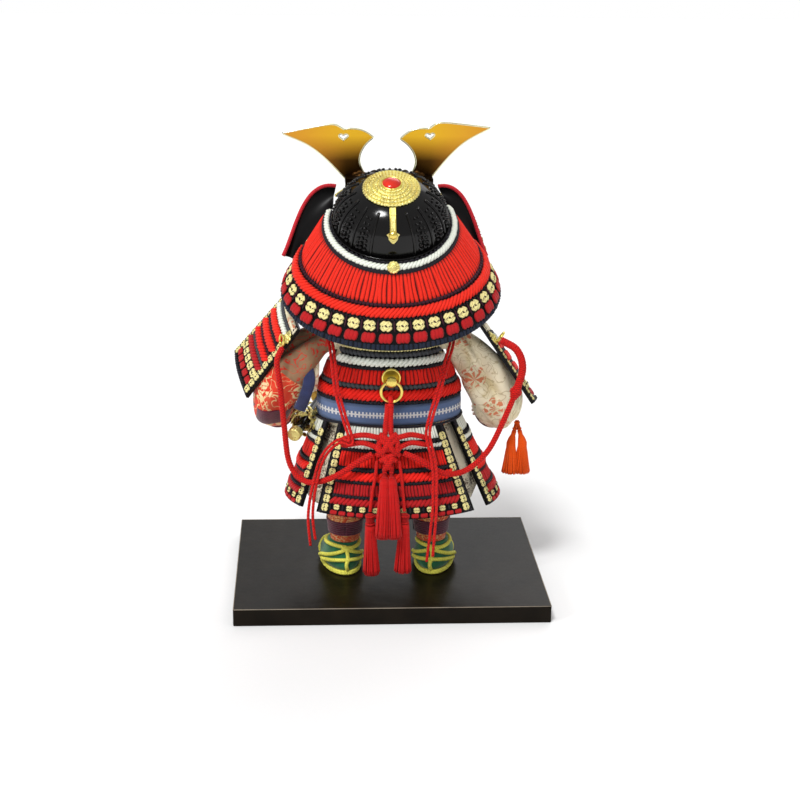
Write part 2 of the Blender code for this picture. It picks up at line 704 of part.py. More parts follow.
def make_hair():
    """Hair from the temples round the back of the head and up under the helmet."""
    low, high = [HEAD_CENTRE[2] + level for level in HAIR_LEVELS]

    def scalp(across, along):
        z = high + (low - high) * along
        size = head_factor(z)
        reach = math.radians(152.0 - 44.0 * along) * across
        return Vector((HEAD_SIZE[0] * size * math.sin(reach),
                       HEAD_CENTRE[1] + HEAD_SIZE[1] * size * math.cos(reach), z))

    rows = [(along, 0.0) for along in steps(0.0, 1.0, 6)]
    panel("hair", scalp, steps(1.0, -1.0, 17), rows, (1.0, 2.8), material("black hair", (22, 18, 18), 0.5),
          lining=6)


def bowl_factor(height):
    """How wide the bowl is at a height above its rim, against its width at the rim."""
    share = min(1.0, max(0.0, height / BOWL_HEIGHT))
    return (1.0 - share ** BOWL_POWER) ** (1.0 / BOWL_POWER)


def dome_loops(shrink, heights, count, rib=0.0):
    """Loops over the bowl, in the helmet's frame, with ribs away from the back panel."""
    loops = []
    for height in heights:
        factor = bowl_factor(height)
        loop = []
        for step in range(count):
            angle = 2.0 * math.pi * step / count
            from_back = min(angle, 2.0 * math.pi - angle)
            fade = 1.0 - (height / BOWL_HEIGHT) ** 4
            lift = rib * fade if step % 2 and from_back > math.radians(26.0) else 0.0
            loop.append(Vector((((BOWL_HALF_WIDTH - shrink) * factor + lift) * math.sin(angle),
                                ((BOWL_HALF_LENGTH - shrink) * factor + lift) * math.cos(angle),
                                height * (1.0 - shrink / BOWL_HEIGHT))))
        loops.append(loop)
    return loops


def make_bowl():
    """Ribbed bowl in one piece with the flange round its rim, hollow inside."""
    count = BOWL_SIDES
    outer = [oval((0.0, 0.0, -1.5), *FLANGE, count), oval((0.0, 0.0, 0.3), *FLANGE, count),
             oval((0.0, 0.0, 3.2), BOWL_HALF_WIDTH + 0.8, BOWL_HALF_LENGTH + 0.8, count)]
    outer += dome_loops(0.0, DOME_LEVELS, count, BOWL_RIB)
    inner = dome_loops(BOWL_WALL, (*LINING_LEVELS[::-1], 0.0), count)
    inner.append(oval((0.0, 0.0, -1.5), BOWL_HALF_WIDTH - BOWL_WALL, BOWL_HALF_LENGTH - BOWL_WALL, count))
    mesh = bmesh.new()
    shell = add_loops(mesh, outer)
    lining = add_loops(mesh, inner)
    mesh.faces.new(shell[-1])
    mesh.faces.new(lining[0])
    for step in range(count):
        after = (step + 1) % count
        mesh.faces.new((shell[0][step], shell[0][after], lining[-1][after], lining[-1][step]))
    finish("helmet_bowl", mesh, lacquer(), helmet_frame())


def make_helmet_pad():
    """Paper padding that fills the crown of the bowl above the head."""
    loops = dome_loops(BOWL_WALL + GAP + 0.1, LINING_LEVELS, BOWL_SIDES)
    stack("helmet_pad", loops, material("paper", (222, 214, 196), 0.9), helmet_frame())


def make_rim_braid():
    """The white rope that runs round the back and sides of the rim."""
    loops = []
    for angle in steps(-ROPE_REACH, ROPE_REACH, 29):
        out = Vector((ROPE_RING[1] * math.sin(angle), ROPE_RING[0] * math.cos(angle), 0.0)).normalized()
        centre = Vector((ROPE_RING[0] * math.sin(angle), ROPE_RING[1] * math.cos(angle), ROPE_RING_RISE))
        loop = []
        for side in range(6):
            turn = 2.0 * math.pi * side / 6
            loop.append(centre + (out * math.cos(turn) + Vector((0.0, 0.0, math.sin(turn)))) * ROPE_RADIUS)
        loops.append(loop)
    stack("rim_braid", loops, material("white braid", (222, 232, 228), 0.8), helmet_frame())


def make_brim():
    """The visor over the face."""

    def visor(across, along):
        half_x = BOWL_HALF_WIDTH + 3.9 + 9.0 * along
        half_y = BOWL_HALF_LENGTH + 6.3 + 13.0 * along * math.cos(across * 0.7)
        return Vector((half_x * math.sin(across), -half_y * math.cos(across), -0.6 - 5.0 * along))

    reach = math.radians(46.0)
    rows = [(0.0, 0.0), (0.5, 0.0), (0.88, 0.0), (0.92, 0.5), (1.0, 0.5)]
    panel("brim", visor, steps(-reach, reach, 13), rows, wall(1.8), lacquer(), helmet_frame())


def guard_value(first, middle, last, along):
    """A curve through three values, the middle one at the neck guard's first braid."""
    bend = 0.37
    return (first * (along - bend) * (along - 1.0) / bend
            + middle * along * (along - 1.0) / (bend * (bend - 1.0))
            + last * along * (along - bend) / (1.0 - bend))


def neck_guard_point(across, along):
    """A point on the neck guard in the helmet's frame, across from the back to the left."""
    half_x = guard_value(*GUARD_HALF_WIDTHS, along)
    half_y = guard_value(*GUARD_HALF_DEPTHS, along)
    shift = guard_value(*GUARD_SHIFTS, along)
    height = guard_value(*GUARD_DROPS, along)
    return Vector((half_x * math.sin(across), shift + half_y * math.cos(across), height))


def make_neck_guard():
    """The wide neck guard: long lacing, a rope, a row of knots and the lowest plates."""
    rows = [(0.0, 0.0), (0.03, 0.9), (0.17, 0.9), (0.33, 0.9), (0.35, 0.0), (0.4, 0.1), (0.475, 1.5),
            (0.55, 0.1), (0.59, 0.0), (0.61, 1.0), (0.7, 1.0), (0.73, 0.0), (0.76, 0.8),
            (0.86, 0.8), (0.89, 0.0), (1.0, 0.0)]
    acrosses = steps(NECK_GUARD_REACH, -NECK_GUARD_REACH, 23)
    panel("neck_guard", neck_guard_point, acrosses, rows, wall(2.4), red_lacing(), helmet_frame(), 5)


def make_turnback(name, side):
    """The front end of the neck guard's top plates, turned back beside the face."""
    width = 1.0 if side > 0.0 else 0.93
    free = [(75.0 * width, -20.0, 237.0), (66.0 * width, -26.0, 254.0),
            (61.0 * width, -29.0, 290.0), (37.5 * width, -31.0, 285.0)]
    place = helmet_frame()

    def plate(across, along):
        seat = neck_guard_point(side * (NECK_GUARD_REACH + TURNBACK_STEP), 0.86 * (1.0 - along))
        low = (place @ (seat * MM)) / MM
        x, y, z = bezier(free, along)
        point = low.lerp(Vector((side * x, y, z)), across)
        return point + Vector((0.0, -18.0 * across * (1.0 - across), 0.0))

    acrosses = steps(0.0, 1.0, 6)
    if side < 0.0:
        acrosses = acrosses[::-1]
    rows = [(along, 0.0) for along in steps(0.0, 1.0, 9)]
    panel("turnback_" + name, plate, acrosses, rows, wall(1.8), lacquer(), lining=9)


def make_rosette():
    """The stepped gold crown plate with its red stone."""
    plate = ((0.0, 33.7), (12.0, 33.1), (19.2, 31.4), (19.2, 32.2), (18.4, 32.9), (15.6, 33.3),
             (15.2, 34.1), (11.8, 34.6), (11.3, 35.4), (8.0, 35.8), (7.4, 35.3), (0.0, 35.3))
    turned("rosette", plate, gold(), helmet_frame(), 22)
    stone = ((0.0, 35.6), (5.6, 35.6), (5.6, 36.1), (4.6, 37.0), (2.6, 37.6), (0.0, 37.8))
    turned("gem", stone, material("red stone", (216, 46, 20), 0.15), helmet_frame(), 14)


def make_back_strip():
    """The gold arrow that runs down the bowl's smooth back panel."""
    levels = (30.2, DOME_LEVELS[4], 27.3, DOME_LEVELS[3], 22.0, 20.0, DOME_LEVELS[2], 16.8, 14.6)
    widths = (2.4, 2.4, 2.4, 2.4, 2.4, 2.4, 4.5, 2.9, 0.6)

    def strip(across, along):
        place = along * (len(levels) - 1)
        index = max(0, min(int(place), len(levels) - 2))
        share = place - index
        height = levels[index] + (levels[index + 1] - levels[index]) * share
        width = widths[index] + (widths[index + 1] - widths[index]) * share
        factor = bowl_factor(height)
        angle = across * width / (BOWL_HALF_WIDTH * factor)
        return Vector((BOWL_HALF_WIDTH * factor * math.sin(angle),
                       BOWL_HALF_LENGTH * factor * math.cos(angle), height))

    rows = [(along, 0.0) for along in steps(0.0, 1.0, len(levels))]
    panel("back_strip", strip, steps(1.0, -1.0, 3), rows, (GAP, GAP + 1.0), gold(), helmet_frame(),
          len(levels))


def make_guard_boss():
    """The small gold boss at the back of the rim."""
    seat = Vector((0.0, BOWL_HALF_LENGTH + 8.65, 2.75))
    tilt = Matrix.Translation(seat * MM) @ Matrix.Rotation(math.radians(-50.0), 4, "X")
    profile = ((0.0, 0.0), (4.2, 0.0), (4.2, 1.0), (3.4, 1.5), (2.4, 1.2), (1.2, 1.9), (0.0, 2.1))
    turned("guard_boss", profile, gold(), helmet_frame() @ tilt, 14)


def horn_outline():
    """The left horn's outline in its own plane, as X and Z."""
    outer_edge = [(28.5, 286.4), (36.0, 294.5), (46.5, 304.8), (58.0, 313.2), (75.1, 320.7)]
    top_edge = [(75.1, 320.7), (57.0, 324.4), (43.0, 326.9), (37.0, 326.6), (31.8, 323.6)]
    lobe = [(31.8, 323.6), (26.5, 324.2), (20.0, 323.5), (14.5, 321.0), (11.0, 318.2)]
    inner_edge = [(11.0, 318.2), (16.5, 313.0), (20.2, 306.0), (20.2, 298.5), (15.6, 289.5),
                  (14.3, 286.4)]
    outline = []
    for part in (outer_edge, top_edge, lobe, inner_edge):
        curve = smooth_points([(x, 0.0, z) for x, z in part], 5.0)
        outline += curve[:-1]
    outline.append(Vector((14.3, 0.0, 286.4)))
    return outline


def heart(count=14):
    """A small heart outline about its own centre, as X and Z."""
    points = []
    for step in range(count):
        angle = 2.0 * math.pi * step / count
        x = 16.0 * math.sin(angle) ** 3
        z = (13.0 * math.cos(angle) - 5.0 * math.cos(2.0 * angle) - 2.0 * math.cos(3.0 * angle)
             - math.cos(4.0 * angle))
        points.append(Vector((x * 0.22, 0.0, z * 0.17)))
    return points


def extruded(outline, front, back):
    """A bmesh of an outline in X and Z between two depths."""
    mesh = bmesh.new()
    loops = [[Vector((point.x, depth, point.z)) for point in outline] for depth in (front, back)]
    add_stack(mesh, loops)
    return mesh


def make_horn(name, side):
    """One horn blade with its heart-shaped piercing, leaning back a little."""
    pivot = Vector((21.5, -42.0, 288.0))
    lift = math.radians(0.0 if side > 0.0 else -5.0)
    mesh = extruded(horn_outline(), -42.6, -41.4)
    hole = extruded([point + Vector((32.0, 0.0, 318.6)) for point in heart()], -46.0, -38.0)
    for shape in (mesh, hole):
        bmesh.ops.rotate(shape, verts=shape.verts, cent=pivot, matrix=Matrix.Rotation(lift, 3, "Y"))
        bmesh.ops.rotate(shape, verts=shape.verts, cent=pivot,
                         matrix=Matrix.Rotation(math.radians(-3.0), 3, "X"))
        if side < 0.0:
            bmesh.ops.scale(shape, vec=(-1.0, 1.0, 1.0), verts=shape.verts)
    made = finish("horn_" + name, mesh, gold())
    combine(made, helper("piercing_" + name, hole), "DIFFERENCE")


def make_horn_base():
    """The bracket that holds the horns, hollowed to sit on the bowl."""
    mesh = block((-31.0, -40.9, 286.7), (31.0, -24.0, 291.2))
    made = finish("horn_base", mesh, material("dark bronze", (70, 46, 24), 0.35, 0.8))
    room = bmesh.new()
    room_scale = 1.0 + (BOWL_RIB + GAP + 0.1) / BOWL_HALF_WIDTH
    loops = dome_loops(0.0, (0.0, *DOME_LEVELS), BOWL_SIDES)
    grown = [[point * room_scale for point in loop] for loop in loops]
    add_stack(room, grown)
    combine(made, helper("bowl_room", room, helmet_frame()), "DIFFERENCE")


def make_back_hardware():
    """The gold boss on the back with the ring that hangs in its eye."""
    plate = bar((0.3, 34.1, BOSS_Z), (0.3, 35.7, BOSS_Z), 6.5, 20)
    made = finish("ring_boss", plate, gold())
    knob = helper("knob", bar((0.3, 35.2, BOSS_Z - 1.6), (0.3, 41.4, BOSS_Z - 1.6), 3.9, 16))
    combine(made, knob, "UNION")
    eye_z = RING_Z + RING_RADIUS - 0.3
    eye = helper("eye", bar((-6.0, RING_Y, eye_z), (6.6, RING_Y, eye_z), 2.15, 12))
    combine(made, eye, "DIFFERENCE")
    hoop = ring((0.3, RING_Y, RING_Z), (0.0, 1.0, 0.0), RING_RADIUS, RING_WIRE, 22)
    finish("back_ring", hoop, gold())


def ellipsoid(centre, half, count=12, levels=6):
    """A bmesh of an egg shape."""
    mesh = bmesh.new()
    bmesh.ops.create_uvsphere(mesh, u_segments=count, v_segments=levels, radius=1.0)
    place = Matrix.Translation(Vector(centre)) @ Matrix.Diagonal((*half, 1.0))
    bmesh.ops.transform(mesh, matrix=place, verts=mesh.verts)
    return mesh


def make_knot():
    """The tied bow below the ring: its loop through the ring, two strands, heart and wings."""
    x, y, z = KNOT_CENTRE
    heart_mesh = block((x - 9.5, y - 3.8, z - 9.5), (x + 9.5, y + 3.8, z + 9.5))
    bmesh.ops.rotate(heart_mesh, verts=heart_mesh.verts, cent=Vector(KNOT_CENTRE),
                     matrix=Matrix.Rotation(KNOT_LEAN, 3, "X"))
    made = finish("bow_knot", heart_mesh, red_lacing())
    top = Vector((0.8, RING_Y, RING_Z - RING_RADIUS))
    for name, shift, wing, reach in (("left", 1.6, 14.5, 12.8), ("right", -1.6, -13.5, 12.6)):
        strand = bar(top + Vector((shift * 0.6, 0.0, -2.4)), (x + shift, y - 1.4, z + 8.4), 1.35, 10)
        combine(made, helper("strand_" + name, strand), "UNION")
        lobe = ellipsoid((x + wing, y + 0.2, z + 5.0), (reach, 3.2, 3.9))
        combine(made, helper("wing_" + name, lobe), "UNION")
    loop = ring(top, (1.0, 0.0, 0.0), RING_WIRE + GAP + 1.25, 1.15)
    combine(made, helper("knot_loop", loop), "UNION")


def bell(stations, count=12):
    """A bmesh of a tassel from (x, y, z, radius) stations, top to bottom."""
    mesh = bmesh.new()
    add_stack(mesh, [oval((x, y, z), radius, radius, count) for x, y, z, radius in stations])
    return mesh


def hung_tassel(x, top, bottom, lean):
    """Stations of a tassel with a bound head that hangs straight down."""
    drop = bottom - top
    shape = ((0.0, 2.4), (0.04, 3.5), (0.12, 3.7), (0.15, 3.2), (0.18, 3.8), (0.55, 4.7), (1.0, 6.2))
    return [(x + lean * share, TASSEL_Y, top + drop * share, radius) for share, radius in shape]


def paired_tassel(x, lean):
    """Stations of one of the middle pair, which lies on the flared skirt."""
    shape = ((0.0, 48.0, 106.0, 1.3), (0.05, 52.6, 96.4, 1.3), (0.1, 54.4, 94.6, 3.4),
             (0.25, 57.4, 89.4, 3.9), (0.3, 58.4, 88.2, 3.4), (0.35, 60.0, 86.0, 4.1),
             (0.7, 65.4, 72.0, 4.6), (1.0, 68.4, 56.5, 5.2))
    return [(x + lean * share, y, z, radius) for share, y, z, radius in shape]


def drawn_tassel(lean):
    """Stations of one of the pair on the right sleeve's drawstring."""
    shape = ((0.0, 1.6), (0.16, 1.6), (0.2, 2.6), (0.34, 3.6), (0.4, 3.2), (0.62, 4.4), (1.0, 6.0))
    x, y, top, bottom = SLEEVE_TASSEL
    return [(x + lean * share, y, top + (bottom - top) * share, radius) for share, radius in shape]


def make_tassels():
    """The two hanging tassels, the middle pair, and the pair below the right sleeve."""
    finish("tassel_left", bell(hung_tassel(15.4, 72.4, 27.5, -1.4)), red_lacing())
    finish("tassel_right", bell(hung_tassel(-8.5, 72.4, 29.5, 0.7)), red_lacing())
    made = finish("tassel_middle", bell(paired_tassel(0.4, -2.0)), red_lacing())
    mate = helper("tassel_mate", bell(paired_tassel(5.0, 2.2)))
    combine(made, mate, "UNION")
    made = finish("sleeve_tassel", bell(drawn_tassel(-6.0)), material("orange silk", (226, 98, 34), 0.7))
    mate = helper("sleeve_tassel_mate", bell(drawn_tassel(3.0)))
    combine(made, mate, "UNION")


def make_sword():
    """The sheathed sword at the left hip: sheath, end cap, and hilt with its guard."""
    end = Vector(SHEATH_END)
    way = Vector(SHEATH_WAY).normalized()
    mouth = end - way * SHEATH_LENGTH
    middle = end - way * SHEATH_LENGTH / 2.0 - Vector((0.0, 0.0, 0.6))
    sheath = [(mouth, way, 4.4, 3.6), (middle, way, 4.3, 3.6), (end, way, 4.2, 3.6)]
    swept("sheath", sheath, lacquer(), count=14)
    cap = [(end + way * GAP, way, 4.9, 4.4), (end + way * 4.0, way, 4.9, 4.4),
           (end + way * 5.2, way, 4.0, 3.5)]
    swept("sheath_cap", cap, gold(), count=14)
    hilt = [(mouth - way * 0.4, way, 8.2, 7.2), (mouth - way * 2.4, way, 8.2, 7.2),
            (mouth - way * 2.4, way, 3.9, 3.0), (mouth - way * 26.0, way, 3.6, 2.9),
            (mouth - way * 28.0, way, 4.1, 3.3), (mouth - way * 30.0, way, 3.2, 2.6)]
    swept("sword_hilt", hilt, material("dark cord", (40, 34, 52), 0.7), count=14)


def clear_scene():
    """Start from an empty scene."""
    for old in list(bpy.data.objects):
        bpy.data.objects.remove(old, do_unlink=True)


def main():
    clear_scene()
    make_board()
    for name, side in SIDES:
        make_foot(name, side)
        make_leg(name, side)
        make_arm(name, side)
        make_shoulder_guard(name, side)
        make_turnback(name, side)
        make_horn(name, side)
    make_trousers()
    make_body()
    make_cuirass()
    make_belt()
    make_skirt()
    make_head()
    make_hair()
    make_bowl()
    make_helmet_pad()
    make_rim_braid()
    make_brim()
    make_neck_guard()
    make_rosette()
    make_back_strip()
    make_guard_boss()
    make_horn_base()
    make_back_hardware()
    make_knot()
    make_tassels()
    make_sword()
    for name, (radius, route) in CORD_ROUTES.items():
        free_cord(name, radius, route)


main()
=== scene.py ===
"""Looks of the samurai doll: silk lacing, lacquer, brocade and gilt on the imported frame.

Lengths are millimetres in the part's own frame and become metres when a mesh is made.
The doll faces -Y, so its back, which the camera sees, faces +Y.
"""
import logging
import math
import random
from dataclasses import dataclass, field
from enum import Enum
from typing import Callable, Iterable, Sequence

import bmesh
import bpy
from mathutils import Matrix, Vector


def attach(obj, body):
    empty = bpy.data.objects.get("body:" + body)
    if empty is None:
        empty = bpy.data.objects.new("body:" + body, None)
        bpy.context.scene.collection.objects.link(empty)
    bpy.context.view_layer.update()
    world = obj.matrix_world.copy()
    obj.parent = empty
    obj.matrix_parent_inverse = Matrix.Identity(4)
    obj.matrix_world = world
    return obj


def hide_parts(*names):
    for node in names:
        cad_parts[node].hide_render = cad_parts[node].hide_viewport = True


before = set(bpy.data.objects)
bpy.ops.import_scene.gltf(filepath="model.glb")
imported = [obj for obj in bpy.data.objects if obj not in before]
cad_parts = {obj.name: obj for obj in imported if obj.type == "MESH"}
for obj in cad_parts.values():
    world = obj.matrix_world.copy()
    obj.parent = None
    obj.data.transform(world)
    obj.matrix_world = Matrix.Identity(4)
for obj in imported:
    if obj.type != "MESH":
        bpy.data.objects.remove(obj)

log = logging.getLogger("doll")

MM = 0.001
SIDES = (("left", 1.0), ("right", -1.0))
BACK = Vector((0.0, 1.0, 0.0))
UP = Vector((0.0, 0.0, 1.0))
Colour = tuple[int, int, int]
Surface = Callable[[float, float], Vector]

BOARD_TOP = 12.5
HELMET_CENTRE = (0.0, -2.0, 263.0)
HELMET_TILT = math.radians(28.0)
HELMET_ROLL = math.radians(0.8)
HELMET = (Matrix.Translation(HELMET_CENTRE) @ Matrix.Rotation(-HELMET_TILT, 4, "X")
          @ Matrix.Rotation(HELMET_ROLL, 4, "Y"))
BOWL_HALF_WIDTH = 39.3
BOWL_HALF_LENGTH = 40.5
BOWL_HEIGHT = 33.0
BOWL_POWER = 2.4
HEAD_CENTRE = Vector((0.0, -7.0, 237.0))
HEAD_SIZE = Vector((33.0, 32.0, 39.0))


# ---------------------------------------------------------------- points and curves

def steps(first: float, last: float, count: int) -> list[float]:
    """Give evenly spaced values with both ends."""
    return [first + (last - first) * step / (count - 1) for step in range(count)]


def between(table: Sequence[tuple[float, ...]], place: float) -> list[float]:
    """Read a table of (place, values...) rows at any place.

    Args:
        table: rows in rising order of their first number.
        place: where to read.

    Returns:
        The values there, in a straight line between two rows.
    """
    if place <= table[0][0]:
        return list(table[0][1:])
    for low, high in zip(table, table[1:]):
        if place <= high[0]:
            share = (place - low[0]) / max(1e-9, high[0] - low[0])
            return [a + (b - a) * share for a, b in zip(low[1:], high[1:])]
    return list(table[-1][1:])


def smooth_points(points: Iterable[Sequence[float]], spacing: float) -> list[Vector]:
    """Read a smooth curve through the given points at about the given spacing.

    Args:
        points: the points that the curve passes through.
        spacing: the distance between the points that are read.

    Returns:
        The points along the curve, both ends among them.
    """
    knots = [Vector(point) for point in points]
    ends = [knots[0] * 2.0 - knots[1]] + knots + [knots[-1] * 2.0 - knots[-2]]
    fine = []
    for before, start, end, after in zip(ends, ends[1:], ends[2:], ends[3:]):
        for part in range(12):
            share = part / 12.0
            bend = (start * 2.0 + (end - before) * share
                    + (before * 2.0 - start * 5.0 + end * 4.0 - after) * share ** 2
                    + (start * 3.0 - before - end * 3.0 + after) * share ** 3)
            fine.append(bend * 0.5)
    fine.append(knots[-1])
    return even_points(fine, spacing)


def even_points(line: Sequence[Vector], spacing: float) -> list[Vector]:
    """Walk along a polyline in equal steps of about the given spacing."""
    lengths = distances(line)
    count = max(2, round(lengths[-1] / spacing))
    read = []
    index = 0
    for step in range(count + 1):
        wanted = lengths[-1] * step / count
        while index < len(lengths) - 2 and lengths[index + 1] < wanted:
            index += 1
        share = (wanted - lengths[index]) / max(1e-9, lengths[index + 1] - lengths[index])
        read.append(line[index].lerp(line[index + 1], share))
    return read


def distances(points: Sequence[Vector]) -> list[float]:
    """Give how far along a polyline each of its points lies."""
    found = [0.0]
    for one, two in zip(points, points[1:]):
        found.append(found[-1] + (two - one).length)
    return found


def turn_angles(count: int, closed: bool = False) -> list[float]:
    """Give the angles of a full turn, with the first one again at the end where it is closed."""
    return [2.0 * math.pi * step / count for step in range(count + closed)]


def oval(half_x: float, half_y: float, z: float, angles: Iterable[float], x: float = 0.0,
         y: float = 0.0) -> list[Vector]:
    """Follow a level oval, its angles measured from +Y toward +X."""
    return [Vector((x + half_x * math.sin(angle), y + half_y * math.cos(angle), z)) for angle in angles]


def ring_path(centre: Vector, first: Vector, second: Vector, count: int) -> list[Vector]:
    """Follow a closed ring whose half sizes are the lengths of its two cross directions."""
    return [centre + first * math.cos(angle) + second * math.sin(angle) for angle in turn_angles(count, True)]


def standing(centre: Vector, way: Vector) -> Matrix:
    """Give the place of a turned shape that stands at a centre with its own Z along a direction."""
    return Matrix.Translation(centre) @ way.to_track_quat("Z", "Y").to_matrix().to_4x4()


def bezier(points: Sequence[Sequence[float]], share: float) -> Vector:
    """Read a point on the Bezier curve of any number of control points."""
    level = [Vector(point) for point in points]
    while len(level) > 1:
        level = [one.lerp(two, share) for one, two in zip(level, level[1:])]
    return level[0]


def surface_normal(surface: Surface, across: float, along: float) -> Vector:
    """Find the normal of a surface function from small steps both ways."""
    step = 1e-3
    run = surface(across + step, along) - surface(across - step, along)
    rise = surface(across, along + step) - surface(across, along - step)
    return run.cross(rise).normalized()


def frames_along(path: Sequence[Vector], side: Vector) -> list[tuple[Vector, Vector, Vector]]:
    """Carry a steady pair of cross directions along a path.

    Args:
        path: the points to follow.
        side: a direction that the first cross direction keeps near to.

    Returns:
        One (way, first, second) triple of unit vectors for each point.
    """
    frames = []
    first = side.normalized()
    for index in range(len(path)):
        way = (path[min(index + 1, len(path) - 1)] - path[max(index - 1, 0)]).normalized()
        first = first - way * first.dot(way)
        if first.length < 1e-4:
            first = way.orthogonal()
        first.normalize()
        frames.append((way, first.copy(), way.cross(first)))
    return frames


# ---------------------------------------------------------------- finishes

def linear(value: float) -> float:
    """Turn one display colour level, 0 to 255, into the linear level that a shader takes."""
    level = value / 255.0
    return level / 12.92 if level <= 0.04045 else ((level + 0.055) / 1.055) ** 2.4


def rgba(colour: Colour, gain: float = 1.0) -> tuple[float, float, float, float]:
    """Turn a display colour into a shader colour, lighter or darker by gain."""
    return (*[min(1.0, linear(level) * gain) for level in colour], 1.0)


class Graph:
    """Builds the nodes of one material."""

    def __init__(self, name: str) -> None:
        """Start a material with a Principled shader."""
        self.material = bpy.data.materials.new(name)
        self.material.use_nodes = True
        self.tree = self.material.node_tree
        self.shader = self.tree.nodes["Principled BSDF"]

    def node(self, kind: str, **settings: object) -> bpy.types.Node:
        """Add a node and set its properties."""
        made = self.tree.nodes.new(kind)
        for name, value in settings.items():
            setattr(made, name, value)
        return made

    def feed(self, socket: bpy.types.NodeSocket, value: object) -> None:
        """Link a socket into another, or set it to a plain value."""
        if isinstance(value, bpy.types.NodeSocket):
            self.tree.links.new(value, socket)
        else:
            socket.default_value = value

    def place(self, uv: bool = False, scale: Sequence[float] = (1.0, 1.0, 1.0),
              turn: Sequence[float] = (0.0, 0.0, 0.0)) -> bpy.types.NodeSocket:
        """Give stretched and turned coordinates, from the piece's UV map or the object."""
        source = self.node("ShaderNodeTexCoord")
        mapping = self.node("ShaderNodeMapping")
        self.feed(mapping.inputs["Vector"], source.outputs["UV" if uv else "Object"])
        mapping.inputs["Scale"].default_value = scale
        mapping.inputs["Rotation"].default_value = turn
        return mapping.outputs["Vector"]

    def noise(self, vector: bpy.types.NodeSocket, scale: float, detail: float = 3.0,
              distortion: float = 0.0) -> bpy.types.NodeSocket:
        """Add noise and give its grey value."""
        made = self.node("ShaderNodeTexNoise")
        self.feed(made.inputs["Vector"], vector)
        made.inputs["Scale"].default_value = scale
        made.inputs["Detail"].default_value = detail
        made.inputs["Distortion"].default_value = distortion
        return made.outputs["Fac"]

    def wave(self, vector: bpy.types.NodeSocket, scale: float, direction: str = "X",
             distortion: float = 0.0, detail: float = 1.0) -> bpy.types.NodeSocket:
        """Add parallel bands and give their grey value."""
        made = self.node("ShaderNodeTexWave", bands_direction=direction)
        self.feed(made.inputs["Vector"], vector)
        made.inputs["Scale"].default_value = scale
        made.inputs["Distortion"].default_value = distortion
        made.inputs["Detail"].default_value = detail
        return made.outputs["Fac"]

    def cells(self, vector: bpy.types.NodeSocket, scale: float, feature: str = "F1",
              jitter: float = 1.0) -> bpy.types.NodeSocket:
        """Add a cell pattern and give its distance value."""
        made = self.node("ShaderNodeTexVoronoi", feature=feature)
        self.feed(made.inputs["Vector"], vector)
        made.inputs["Scale"].default_value = scale
        made.inputs["Randomness"].default_value = jitter
        return made.outputs["Distance"]

    def ramp(self, value: bpy.types.NodeSocket,
             stops: Sequence[tuple[float, Sequence[float]]]) -> bpy.types.NodeSocket:
        """Turn a grey value into a colour through the given stops."""
        made = self.node("ShaderNodeValToRGB")
        self.feed(made.inputs["Fac"], value)
        elements = made.color_ramp.elements
        while len(elements) < len(stops):
            elements.new(0.5)
        for element, (place, colour) in zip(elements, stops):
            element.position = place
            element.color = colour
        return made.outputs["Color"]

    def mask(self, value: bpy.types.NodeSocket, low: float, high: float) -> bpy.types.NodeSocket:
        """Give 0 below low and 1 above high, or the reverse when low is the larger."""
        made = self.node("ShaderNodeMapRange")
        self.feed(made.inputs["Value"], value)
        made.inputs["From Min"].default_value = min(low, high)
        made.inputs["From Max"].default_value = max(low, high)
        made.inputs["To Min"].default_value = 0.0 if high > low else 1.0
        made.inputs["To Max"].default_value = 1.0 if high > low else 0.0
        return made.outputs["Result"]

    def calc(self, operation: str, one: object, two: object = 0.0) -> bpy.types.NodeSocket:
        """Combine two numbers."""
        made = self.node("ShaderNodeMath", operation=operation)
        self.feed(made.inputs[0], one)
        self.feed(made.inputs[1], two)
        return made.outputs[0]

    def times(self, one: object, two: object) -> bpy.types.NodeSocket:
        """Multiply two numbers."""
        return self.calc("MULTIPLY", one, two)

    def mix(self, share: object, one: object, two: object) -> bpy.types.NodeSocket:
        """Blend from colour one to colour two."""
        made = self.node("ShaderNodeMix", data_type="RGBA")
        self.feed(made.inputs[0], share)
        self.feed(made.inputs[6], one)
        self.feed(made.inputs[7], two)
        return made.outputs[2]

    def relief(self) -> bpy.types.NodeSocket:
        """Read how far a point of the piece stands out of its grooves, the mask of the finishes' painted
        shade.
        """
        return self.node("ShaderNodeAttribute", attribute_name="relief").outputs["Fac"]

    def parts(self, vector: bpy.types.NodeSocket) -> bpy.types.NodeSocket:
        """Split coordinates into their three numbers."""
        made = self.node("ShaderNodeSeparateXYZ")
        self.feed(made.inputs[0], vector)
        return made.outputs

    def finish(self, colour: object, roughness: object, bump: object = None,
               depth: float = 0.0001, **values: object) -> bpy.types.Material:
        """Wire the shader and give the material.

        Args:
            colour: base colour, plain or from nodes.
            roughness: roughness, plain or from nodes.
            bump: height from nodes, if the surface has any.
            depth: how deep the height goes, in metres.
            **values: other plain socket values, by name with _ for a space.

        Returns:
            The finished material.
        """
        self.feed(self.shader.inputs["Base Color"], colour)
        self.feed(self.shader.inputs["Roughness"], roughness)
        for name, value in values.items():
            self.shader.inputs[name.replace("_", " ")].default_value = value
        if bump is not None:
            made = self.node("ShaderNodeBump")
            made.inputs["Distance"].default_value = depth
            made.inputs["Strength"].default_value = 1.0
            self.feed(made.inputs["Height"], bump)
            self.feed(self.shader.inputs["Normal"], made.outputs["Normal"])
        return self.material


@dataclass(frozen=True)
class Finish:
    """One finish of the doll: its name, a slot name, and its main colour."""

    name: str
    slot: str
    colour: Colour

    def material(self) -> bpy.types.Material:
        """Find this finish's material, or make it once."""
        found = bpy.data.materials.get(self.name)
        return found if found else self.make(Graph(self.name))

    def make(self, graph: Graph) -> bpy.types.Material:
        """Build the nodes of this finish."""
        raise NotImplementedError


